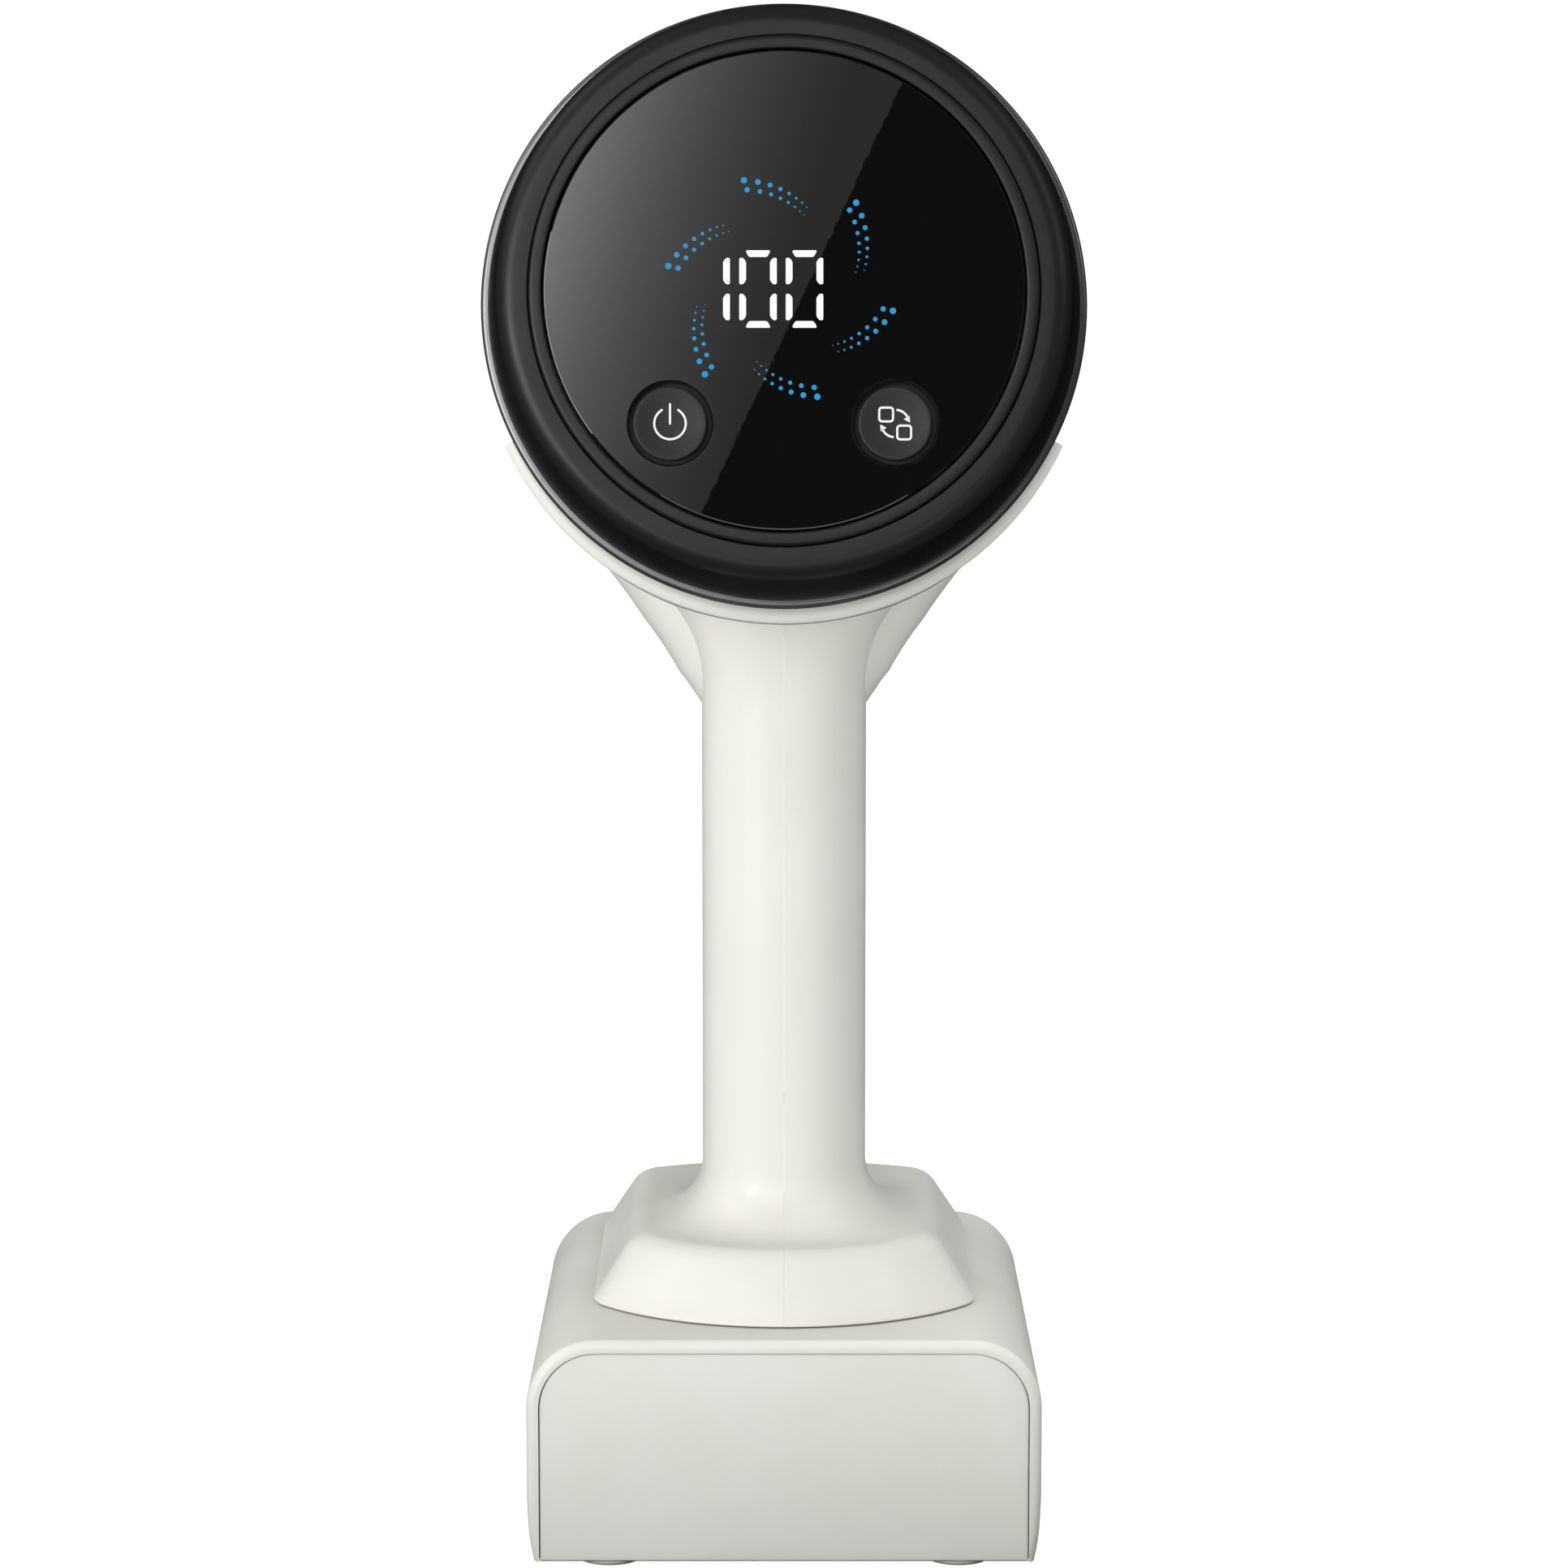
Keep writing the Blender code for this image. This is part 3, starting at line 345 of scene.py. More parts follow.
def recipes():
    """For each finish, the function that makes it, its tone and its settings."""
    tones = bpy.context.scene.hand_unit_colours
    cream = tuple(tones.cream)
    return {
        "cream_plastic": (surfaced, cream, dict(
            second=(cream[0] * 0.97, cream[1] * 0.97, cream[2] * 0.96), roughness=(0.34, 0.46), grain=3200.0,
            depth=0.05, ripple=0.5, wear=0.12, wear_tone=(0.86, 0.85, 0.81), coat=0.12, coat_roughness=0.2,
        )),
        "black_gloss": (surfaced, tuple(tones.gloss), dict(
            roughness=(0.38, 0.46), grain=4200.0, depth=0.06, ripple=0.0, wear=0.15,
            wear_tone=(0.05, 0.05, 0.05), specular=0.45,
        )),
        "black_glass": (surfaced, (0.0042, 0.0042, 0.0045), dict(
            roughness=(0.0, 0.012), grain=700.0, depth=0.002, wear=0.2, wear_tone=(0.12, 0.12, 0.12),
            specular=0.55,
        )),
        "button_black": (surfaced, (0.016, 0.016, 0.017), dict(
            roughness=(0.42, 0.55), grain=5200.0, depth=0.30, ripple=0.0, wear=0.5,
            wear_tone=(0.12, 0.12, 0.12), wear_radius=0.0004,
        )),
        "silver_trim": (surfaced, tuple(tones.silver), dict(
            roughness=(0.34, 0.40), metallic=0.9, grain=2600.0, depth=0.0, ripple=0.0, wear=0.05,
            wear_tone=(0.60, 0.60, 0.60), wear_radius=0.0003,
        )),
        "graphite_plastic": (
            surfaced, tuple(tones.graphite), dict(roughness=(0.40, 0.55), grain=2600.0, depth=0.16)
        ),
        "smoke_clear": (smoked, tuple(tones.smoke), {}),
        "rubber_black": (
            surfaced, (0.022, 0.022, 0.022), dict(roughness=(0.7, 0.9), grain=1600.0, depth=0.3, wear=0.4)
        ),
        "foot_rubber": (
            surfaced, (0.55, 0.54, 0.50), dict(roughness=(0.62, 0.78), grain=1700.0, depth=0.25, wear=0.3)
        ),
        "filter_white": (surfaced, (0.84, 0.84, 0.80), dict(
            second=(0.66, 0.65, 0.60), roughness=(0.85, 0.95), grain=3800.0, depth=0.5, wear=0.2,
            tone_scale=120.0, stretch=(1.0, 0.3, 1.0),
        )),
        "circuit_green": (board, (0.016, 0.13, 0.06), {}),
        "diffuser_white": (surfaced, (0.82, 0.85, 0.87), dict(roughness=(0.5, 0.65), wear=0.1, grain=3000.0)),
        "motor_metal": (surfaced, (0.55, 0.56, 0.58), dict(
            roughness=(0.26, 0.42), metallic=1.0, grain=900.0, depth=0.08, stretch=(1.0, 6.0, 1.0)
        )),
        "steel": (surfaced, (0.52, 0.52, 0.54), dict(
            roughness=(0.24, 0.36), metallic=1.0, grain=1500.0, stretch=(1.0, 4.0, 4.0)
        )),
        "screen_steel": (perforated, (0.50, 0.50, 0.52), {}),
        "cell_blue": (surfaced, (0.09, 0.27, 0.50), dict(
            roughness=(0.22, 0.34), grain=600.0, depth=0.03, stretch=(6.0, 1.0, 1.0)
        )),
        "contact_brass": (surfaced, (0.75, 0.56, 0.26), dict(
            second=(0.60, 0.43, 0.20), roughness=(0.2, 0.4), metallic=1.0, grain=1200.0, tone_scale=160.0
        )),
        "lit_white": (lit, tuple(tones.digits), dict(strength=0.95)),
        "lit_blue": (lit, tuple(tones.swirl), dict(strength=0.80)),
        "icon_white": (surfaced, (0.80, 0.80, 0.80), dict(roughness=(0.4, 0.5), wear=0.1, depth=0.03)),
    }


def finish(name):
    """The material of a name, made the first time it is asked for."""
    made = bpy.data.materials.get(name)
    if not made:
        maker, tone, settings = recipes()[name]
        made = maker(name, tone, **settings)
    return made


# Modelling helpers


def finished(bm, name, body, slot, nodes=(), place=HEAD, sharp=28.0, look=None):
    """Makes the piece, puts it in its place in the mesh, sets what it rides on and hides the frame parts it
    stands for.
    """
    bmesh.ops.remove_doubles(bm, verts=bm.verts, dist=1e-6)
    bmesh.ops.recalc_face_normals(bm, faces=bm.faces)
    bmesh.ops.transform(bm, matrix=place, verts=bm.verts)
    mesh = bpy.data.meshes.new(name)
    bm.to_mesh(mesh)
    bm.free()
    mesh.shade_smooth()
    mesh.set_sharp_from_angle(angle=math.radians(sharp))
    mesh.materials.append(finish(look or slot))
    obj = bpy.data.objects.new(name, mesh)
    bpy.context.scene.collection.objects.link(obj)
    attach(obj, body)
    if nodes:
        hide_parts(*nodes)
    return obj


def bevelled(bm, geom, offset, segments, affect="EDGES"):
    bmesh.ops.bevel(
        bm, geom=geom, offset=offset, offset_type="OFFSET", segments=segments, profile=0.5, affect=affect,
        clamp_overlap=True, material=-1,
    )


def rounded(bm, verts, radii, segments=6):
    """Rounds the corners of a wire outline. A radius of 0 leaves a corner as it is."""
    for vert, radius in zip(verts, radii):
        if radius:
            bevelled(bm, [vert], radius, segments, "VERTICES")


def wire(bm, points, closed=True):
    verts = [bm.verts.new(point) for point in points]
    pairs = zip(verts, verts[1:] + verts[:1]) if closed else zip(verts, verts[1:])
    for pair in pairs:
        bm.edges.new(pair)
    return verts


def turned(corners, steps=None, closed=True, segments=6, angle=math.tau, start=0.0):
    """Turns a profile about the Y axis. A corner is (radius, along) or (radius, along, round)."""
    steps = steps or bpy.context.scene.hand_unit_head.steps
    bm = bmesh.new()
    verts = wire(bm, [(corner[0], corner[1], 0) for corner in corners], closed)
    rounded(bm, verts, [corner[2] if len(corner) > 2 else 0 for corner in corners], segments)
    if start:
        turn = Matrix.Rotation(start, 3, "Y")
        bmesh.ops.rotate(bm, cent=(0, 0, 0), matrix=turn, verts=bm.verts)
    full = angle == math.tau
    bmesh.ops.spin(
        bm, geom=list(bm.verts) + list(bm.edges), cent=(0, 0, 0), axis=(0, 1, 0), dvec=(0, 0, 0), angle=angle,
        steps=steps, use_merge=full, use_duplicate=False,
    )
    bmesh.ops.remove_doubles(bm, verts=bm.verts, dist=1e-6)
    if not full:
        bmesh.ops.holes_fill(bm, edges=[e for e in bm.edges if e.is_boundary])
    bmesh.ops.recalc_face_normals(bm, faces=bm.faces)
    return bm


def block(low, high, ease=0.0, segments=3):
    bm = bmesh.new()
    bmesh.ops.create_cube(bm, size=1.0)
    low, high = Vector(low), Vector(high)
    bmesh.ops.scale(bm, vec=high - low, verts=bm.verts)
    bmesh.ops.translate(bm, vec=(low + high) / 2, verts=bm.verts)
    if ease:
        bevelled(bm, list(bm.edges), ease, segments)
    return bm


def bar(radius, low, high, steps=48, ease=0.0):
    """A round bar between two points."""
    low, high = Vector(low), Vector(high)
    bm = bmesh.new()
    bmesh.ops.create_cone(
        bm, cap_ends=True, segments=steps, radius1=radius, radius2=radius, depth=(high - low).length
    )
    if ease:
        rims = [e for e in bm.edges if abs(e.verts[0].co.z - e.verts[1].co.z) < 1e-7]
        bevelled(bm, rims, ease, 3)
    turn = (high - low).to_track_quat("Z", "Y").to_matrix()
    bmesh.ops.rotate(bm, cent=(0, 0, 0), matrix=turn, verts=bm.verts)
    bmesh.ops.translate(bm, vec=(low + high) / 2, verts=bm.verts)
    return bm


def together(*meshes):
    whole = meshes[0]
    for other in meshes[1:]:
        data = bpy.data.meshes.new("part")
        other.to_mesh(data)
        other.free()
        whole.from_mesh(data)
        bpy.data.meshes.remove(data)
    return whole


def combined(bm, others, operation="DIFFERENCE"):
    """The solid with others cut out of it, or joined to it."""
    objects = []
    for solid in (bm, *others):
        data = bpy.data.meshes.new("solid")
        bmesh.ops.recalc_face_normals(solid, faces=solid.faces)
        solid.to_mesh(data)
        solid.free()
        obj = bpy.data.objects.new("solid", data)
        bpy.context.scene.collection.objects.link(obj)
        objects.append(obj)
    for other in objects[1:]:
        modifier = objects[0].modifiers.new("cut", "BOOLEAN")
        modifier.operation = operation
        modifier.object = other
    result = bmesh.new()
    result.from_object(objects[0], bpy.context.evaluated_depsgraph_get())
    for obj in objects:
        data = obj.data
        bpy.data.objects.remove(obj)
        bpy.data.meshes.remove(data)
    return result


def oblong(half, high, low=None):
    """Corners of an upright oblong, as wide to the left as to the right."""
    low = -high if low is None else low
    return [(-half, low), (half, low), (half, high), (-half, high)]


def slab(points, radii, thickness, segments=6, axis="Y", ease=0.0):
    """A flat outline with rounded corners, given thickness along an axis from 0."""
    bm = bmesh.new()
    lift = {"Y": lambda p: (p[0], 0, p[1]), "Z": lambda p: (p[0], p[1], 0)}[axis]
    verts = wire(bm, [lift(p) for p in points])
    rounded(bm, verts, radii, segments)
    bmesh.ops.contextual_create(bm, geom=list(bm.edges))
    made = bmesh.ops.extrude_face_region(bm, geom=list(bm.faces))
    way = {"Y": (0, thickness, 0), "Z": (0, 0, thickness)}[axis]
    bmesh.ops.translate(bm, vec=way, verts=[v for v in made["geom"] if isinstance(v, bmesh.types.BMVert)])
    bmesh.ops.recalc_face_normals(bm, faces=bm.faces)
    if ease:
        index = "XYZ".index(axis)
        rims = [e for e in bm.edges if abs(e.verts[0].co[index] - e.verts[1].co[index]) < 1e-7]
        bevelled(bm, rims, ease, 4)
    return bm


def moved(bm, offset):
    bmesh.ops.translate(bm, vec=offset, verts=bm.verts)
    return bm


def turned_over(bm, angle, axis="Y"):
    bmesh.ops.rotate(bm, cent=(0, 0, 0), matrix=Matrix.Rotation(angle, 3, axis), verts=bm.verts)
    return bm


# Head pieces


class MakeRearCap(bpy.types.Operator):
    """Gloss cap behind the trim ring, tapering to the bezel with a round shoulder"""

    bl_idname = "hand_unit.rear_cap"
    bl_label = "Rear cap"

    def execute(self, context):
        head = context.scene.hand_unit_head
        wall = 0.0022
        profile = [
            (0.0453, head.cap_rear, 0.0003), (head.cap_shoulder, head.cap_rear, head.cap_fillet),
            (head.cap_radius, 0.0, 0.0002), (head.cap_radius - wall, 0.0),
            (head.cap_shoulder - wall, -0.0178, 0.0006), (0.0453, -0.0192),
        ]
        finished(turned(profile, segments=14), "cap_moulding", "filter_unit", "black_gloss", ["rear_cap"])
        return {"FINISHED"}


class MakeTrimRing(bpy.types.Operator):
    """Plated ring around the cap, with a soft rear edge"""

    bl_idname = "hand_unit.trim_ring"
    bl_label = "Trim ring"

    def execute(self, context):
        rim = context.scene.hand_unit_head.rim_radius
        profile = [(0.0505, GAP), (rim, GAP, 0.0009), (rim, 0.0033, 0.0005), (0.0505, 0.0033)]
        finished(turned(profile), "plated_ring", "filter_unit", "silver_trim", ["trim_ring"])
        return {"FINISHED"}


class MakeGrille(bpy.types.Operator):
    """Exhaust grille behind the trim ring: a ring of round-cornered slots"""

    bl_idname = "hand_unit.grille"
    bl_label = "Exhaust grille"

    def execute(self, context):
        outer = context.scene.hand_unit_head.barrel_radius
        wall, rear, front, slot_count = 0.0022, 0.0036, 0.0164, 20
        section = [(outer - wall, rear), (outer, rear, 0.0003), (outer, front, 0.0003), (outer - wall, front)]
        ring = turned(section, steps=120, segments=3)
        slots = []
        corners = oblong(0.0045, 0.0044)
        for i in range(slot_count):
            slot = slab(corners, [0.0012] * 4, 0.0080, 4, "Z")
            moved(slot, (0, 0.0100, 0.0490))
            slots.append(turned_over(slot, math.tau * (i + 0.25) / slot_count))
        grille = combined(ring, [together(*slots)])
        finished(grille, "grille_ring", "filter_unit", "graphite_plastic", ["exhaust_grille"])
        return {"FINISHED"}


class MakeBezel(bpy.types.Operator):
    """Gloss ring that holds the glass"""

    bl_idname = "hand_unit.bezel"
    bl_label = "Display bezel"

    def execute(self, context):
        head = context.scene.hand_unit_head
        rear, inner = head.glass_rear - 0.0003, head.glass_radius + GAP
        profile = [
            (inner, -0.0189), (inner, rear, 0.0004), (head.bezel_radius, rear, 0.0007),
            (head.bezel_radius, -0.0189),
        ]
        finished(turned(profile), "glass_holder", "main", "black_gloss", ["display_bezel"])
        return {"FINISHED"}


class MakeGlass(bpy.types.Operator):
    """Display glass with an eased rim and a hole for each button"""

    bl_idname = "hand_unit.glass"
    bl_label = "Display glass"

    def execute(self, context):
        head = context.scene.hand_unit_head
        rim = [(0, 0), (head.glass_radius, 0, 0.00035), (head.glass_radius, 0.0018, 0.0002), (0, 0.0018)]
        pane = turned(rim, closed=False, segments=3)
        holes = []
        for x in (head.power_x, head.mode_x):
            well = [
                (0, -0.0002), (head.button_hole + 0.00060, -0.0002), (head.button_hole, 0.00040),
                (head.button_hole, 0.0030), (0, 0.0030),
            ]
            holes.append(moved(turned(well, steps=72, closed=False), (x, 0, -head.button_drop)))
        glass = moved(combined(pane, [together(*holes)]), (0, head.glass_rear, 0))
        finished(glass, "glass_pane", "main", "black_glass", ["display_glass"], sharp=12)
        return {"FINISHED"}


class MakeDigits(bpy.types.Operator):
    """Lit charge figure in seven-bar digits"""

    bl_idname = "hand_unit.digits"
    bl_label = "Digits"

    def execute(self, context):
        display, head = context.scene.hand_unit_display, context.scene.hand_unit_head
        stroke, half = display.stroke, display.digit_height / 2
        split, cut, nib = 0.00084, 0.00055, 0.00028
        long = half - stroke * 1.12 - split
        bars = []

        def upright(inner_right, up):
            corners = [
                (0, 0), (stroke - cut, 0), (stroke, cut * 1.2), (stroke, long - cut * 1.2),
                (stroke - cut, long), (0, long),
            ]
            if not inner_right:
                corners = [(stroke - x, z) for x, z in corners]
            made = slab(corners, [nib, nib * 0.8, nib, nib, nib * 0.8, nib], LIT_DEPTH, 3)
            return moved(made, (0, 0, split if up else -split - long))

        def flat(width, up):
            corners = [
                (width * 0.12, 0), (width * 0.88, 0), (width, stroke * 0.75), (width, stroke), (0, stroke),
                (0, stroke * 0.75),
            ]
            rounds = [nib, nib, nib * 0.5, nib * 0.9, nib * 0.9, nib * 0.5]
            if not up:
                corners = [(x, -z) for x, z in corners]
            made = slab(corners, rounds, LIT_DEPTH, 3)
            return moved(made, (0, 0, half - stroke if up else stroke - half))

        last_digit, first_stroke = 0.00031, -0.01074
        for place in (-1, 0):
            x = last_digit + place * display.digit_pitch
            for up in (True, False):
                bars.append(moved(upright(True, up), (x, 0, 0)))
                bars.append(moved(upright(False, up), (x + display.digit_width - stroke, 0, 0)))
                bars.append(moved(flat(display.digit_width - stroke * 2, up), (x + stroke, 0, 0)))
        for up in (True, False):
            bars.append(moved(upright(False, up), (first_stroke, 0, 0)))
        figure = moved(together(*bars), (0, head.glass_rear - 0.00003, 0.00013))
        finished(figure, "charge_figure", "main", "diffuser_white", look="lit_white")
        return {"FINISHED"}


class MakeSwirl(bpy.types.Operator):
    """Lit swirl of dots around the digits"""

    bl_idname = "hand_unit.swirl"
    bl_label = "Swirl"

    def execute(self, context):
        display, head = context.scene.hand_unit_display, context.scene.hand_unit_head
        arm_start, first_step, step_loss, arm_length, shrink = 108.7, 6.95, 0.25, 36.4, 0.114
        outside = display.swirl_radius
        rows = (  # radius at the arm's start and end, and the largest dot's radius
            (outside, outside - 0.0051, 0.00057),
            (outside - 0.00175, outside - 0.0066, 0.00047),
        )
        dots = []
        for arm in range(display.arms):
            first = math.radians(arm_start) + math.tau * arm / display.arms
            for start_radius, end_radius, big in rows:
                for i in range(display.dots):
                    along = first_step * i - step_loss * i * i
                    angle = first - math.radians(along)
                    radius = start_radius + (end_radius - start_radius) * (along / arm_length)
                    dot = bmesh.new()
                    size = big * (1 - shrink * i)
                    bmesh.ops.create_cone(
                        dot, cap_ends=True, segments=16, radius1=size, radius2=size, depth=LIT_DEPTH
                    )
                    turned_over(dot, math.pi / 2, "X")
                    dots.append(moved(dot, (radius * math.cos(angle), 0, radius * math.sin(angle))))
        swirl = moved(together(*dots), (-0.0006, head.glass_rear - 0.00001, 0.00022))
        finished(swirl, "swirl_dots", "main", "diffuser_white", look="lit_blue")
        return {"FINISHED"}


def button_cap(head):
    edge, rear, flange = head.button_radius, head.glass_rear, -0.0204
    profile = [
        (0, rear + 0.00060), (edge * 0.25, rear + 0.00056), (edge * 0.45, rear + 0.00047),
        (edge * 0.65, rear + 0.00032), (edge * 0.82, rear + 0.00014), (edge * 0.93, rear + 0.00002),
        (edge, rear + 0.00002, 0.00030), (edge, flange), (0.0082, flange), (0.0082, flange + 0.0012),
        (0, flange + 0.0012),
    ]
    return turned(profile, steps=72, closed=False, segments=5)


def line_section(middle, stroke, deep):
    """Section of an icon's curved line."""
    near, far = middle - stroke / 2, middle + stroke / 2
    return [(near, 0), (far, 0), (far, deep), (near, deep)]


def power_icon(stroke):
    """A ring with a gap at the top, and a bar through the gap"""
    middle, gap, deep = 0.00278, math.radians(28), 0.0006
    ring = turned(
        line_section(middle, stroke, deep), steps=48, angle=math.tau - 2 * gap, start=-math.pi / 2 + gap
    )
    corners = oblong(stroke / 2, 0.0036, -0.0002)
    return together(ring, slab(corners, [stroke * 0.45] * 4, deep, 4))


def mode_icon(stroke):
    """Two round-cornered squares, and an arrow from each to the other"""
    parts = []
    deep, half = 0.0006, 0.00141
    inner = half - stroke
    for x, z in ((-0.00159, 0.00159), (0.00159, -0.00159)):
        outer = slab(oblong(half, half), [0.0007] * 4, deep)
        hollow = slab(oblong(inner, inner), [0.00035] * 4, 0.0024)
        parts.append(moved(combined(outer, [moved(hollow, (0, -0.0009, 0))]), (x, 0, z)))
    radius = 0.00231
    for way in (0.0, math.pi):
        sweep = turned(
            line_section(radius, stroke, deep), steps=14, angle=math.radians(66), start=-math.radians(86)
        )
        moved(sweep, (0.0001, 0, 0.0001))
        barb = slab([(0.00262, 0.00016), (0.00150, 0.00078), (0.00256, 0.00140)], [0.0001] * 3, deep, 3)
        parts.append(turned_over(together(sweep, barb), way))
    return together(*parts)


class MakeButtons(bpy.types.Operator):
    """Power and mode buttons with dished caps and their icons"""

    bl_idname = "hand_unit.buttons"
    bl_label = "Buttons"

    def execute(self, context):
        head, display = context.scene.hand_unit_head, context.scene.hand_unit_display
        for name, x, icon in (("power", head.power_x, power_icon), ("mode", head.mode_x, mode_icon)):
            place = (x, 0, -head.button_drop)
            cap = moved(button_cap(head), place)
            finished(cap, f"{name}_cap", f"{name}_button", "button_black", [f"{name}_button"])
            sign = moved(icon(display.icon_stroke), (x, head.glass_rear + 0.00034, -head.button_drop))
            finished(sign, f"{name}_icon", f"{name}_button", "diffuser_white", look="icon_white")
        return {"FINISHED"}


class MakeBarrel(bpy.types.Operator):
    """Motor barrel, with a fine step near each end"""

    bl_idname = "hand_unit.barrel"
    bl_label = "Motor barrel"

    def execute(self, context):
        outer = context.scene.hand_unit_head.barrel_radius
        profile = [
            (outer - 0.0020, 0.0167), (outer, 0.0167, 0.0005), (outer, 0.0895, 0.0001),
            (outer - 0.0004, 0.0898, 0.0001), (outer - 0.0004, 0.0906, 0.0001), (outer, 0.0909, 0.0001),
            (outer, 0.0920, 0.0004), (outer - 0.0020, 0.0920),
        ]
        finished(turned(profile, segments=4), "barrel_shell", "main", "cream_plastic", ["motor_barrel"])
        return {"FINISHED"}


class MakeCradle(bpy.types.Operator):
    """Trough under the barrel with a rolled lip and rounded ears"""

    bl_idname = "hand_unit.cradle"
    bl_label = "Cradle"

    def execute(self, context):
        head = context.scene.hand_unit_head
        lip, inner = head.cradle_radius, head.barrel_radius + GAP
        bead = 0.0017
        profile = [
            (lip - bead * 2, 0.0169, bead * 0.98), (lip, 0.0169, bead * 0.98), (lip, 0.0199, 0.0008),
            (lip - 0.0007, 0.0229, 0.0008), (0.0545, 0.0895, 0.0002), (0.0537, 0.0920, 0.0002),
            (inner, 0.0920), (inner, 0.0186),
        ]
        ear = math.radians(24.9)
        trough = turned(profile, steps=110, angle=math.pi - 2 * ear, start=ear, segments=8)
        ends = [f for f in trough.faces if len(f.verts) > 4]
        rims = list(dict.fromkeys(edge for face in ends for edge in face.edges))
        bevelled(trough, rims, 0.0006, 3)
        finished(trough, "cradle_trough", "main", "cream_plastic", ["cradle"])
        return {"FINISHED"}


def ridges(count, pitch, half_length, at, height=0.0003):
    """Finger ridges across a button's face, along X, stepped along Y at a height."""
    rows = []
    for i in range(count):
        y = at[1] + (i - (count - 1) / 2) * pitch
        row = block(
            (at[0] - half_length, y - pitch * 0.22, at[2] - height),
            (at[0] + half_length, y + pitch * 0.22, at[2] + height), height * 0.6, 2,
        )
        rows.append(row)
    return together(*rows)


class MakeCupRelease(bpy.types.Operator):
    """Cup release on top of the barrel: a raised frame and a ridged push button"""

    bl_idname = "hand_unit.cup_release"
    bl_label = "Cup release"

    def execute(self, context):
        outer = context.scene.hand_unit_head.barrel_radius
        rear, front, half, top = 0.0690, 0.0880, 0.0100, outer + 0.0036
        frame_block = block((-half, rear, outer - 0.0006), (half, front, top), 0.0008)
        seat = turned([(0, 0.060), (outer + GAP, 0.060), (outer + GAP, 0.095), (0, 0.095)], closed=False)
        corners = oblong(0.0070, 0.0065)
        window = moved(slab(corners, [0.0010] * 4, 0.0200, 4, "Z"), (0, (rear + front) / 2, 0.0450))
        housing = combined(frame_block, [seat, window])
        finished(housing, "release_frame", "main", "cream_plastic", ["latch_housing"])
        push = block((-0.0066, rear + 0.0034, outer + 0.0022), (0.0066, front - 0.0034, top + 0.0003), 0.0007)
        push = together(push, ridges(5, 0.0018, 0.0045, (0, (rear + front) / 2, top + 0.0003)))
        finished(push, "release_push", "cup_release", "graphite_plastic", ["cup_release_button"])
        return {"FINISHED"}


class MakeCyclone(bpy.types.Operator):
    """Cyclone inside the cup: flange, seal, screen and skirt"""

    bl_idname = "hand_unit.cyclone"
    bl_label = "Cyclone"

    def execute(self, context):
        outer = context.scene.hand_unit_head.barrel_radius - 0.0023
        flange = [
            (0.0340, 0.0800), (outer, 0.0800, 0.0003), (outer, 0.0917, 0.0003), (0.0460, 0.0917, 0.0003),
            (0.0460, 0.0970, 0.0008), (0.0340, 0.0970, 0.0004),
        ]
        finished(turned(flange, 128), "cyclone_ring", "main", "graphite_plastic", ["cyclone_flange"])
        seal = [(0.0463, 0.0930), (0.0478, 0.0930, 0.0005), (0.0478, 0.0955, 0.0005), (0.0463, 0.0955)]
        finished(turned(seal, 128), "seal_ring", "main", "rubber_black", ["cup_seal"])
        screen = [(0.0318, 0.0973), (0.0332, 0.0973, 0.0002), (0.0332, 0.1240, 0.0002), (0.0318, 0.1240)]
        finished(turned(screen, 128), "screen_drum", "main", "steel", ["cyclone_screen"], look="screen_steel")
        skirt = [
            (0, 0.1243), (0.0330, 0.1243, 0.0006), (0.0400, 0.1350, 0.0004), (0.0385, 0.1350, 0.0003),
            (0.0320, 0.1262, 0.0006), (0, 0.1262),
        ]
        finished(
            turned(skirt, 128, closed=False), "cyclone_cone", "main", "graphite_plastic", ["cyclone_skirt"]
        )
        return {"FINISHED"}


class MakeDustCup(bpy.types.Operator):
    """Clear smoke-tinted cup with a rounded front"""

    bl_idname = "hand_unit.dust_cup"
    bl_label = "Dust cup"

    def execute(self, context):
        head = context.scene.hand_unit_head
        outer, inner, front = head.cup_radius, head.cup_radius - 0.0022, 0.1860
        bore = head.inlet_radius + GAP
        profile = [
            (outer, 0.0926, 0.0003), (outer, front, 0.0080), (bore, front, 0.0003),
            (bore, front - 0.0022, 0.0003), (inner, front - 0.0022, 0.0058), (inner, 0.0926, 0.0003),
        ]
        finished(turned(profile, segments=10), "cup_shell", "cup", "smoke_clear", ["dust_cup"])
        return {"FINISHED"}


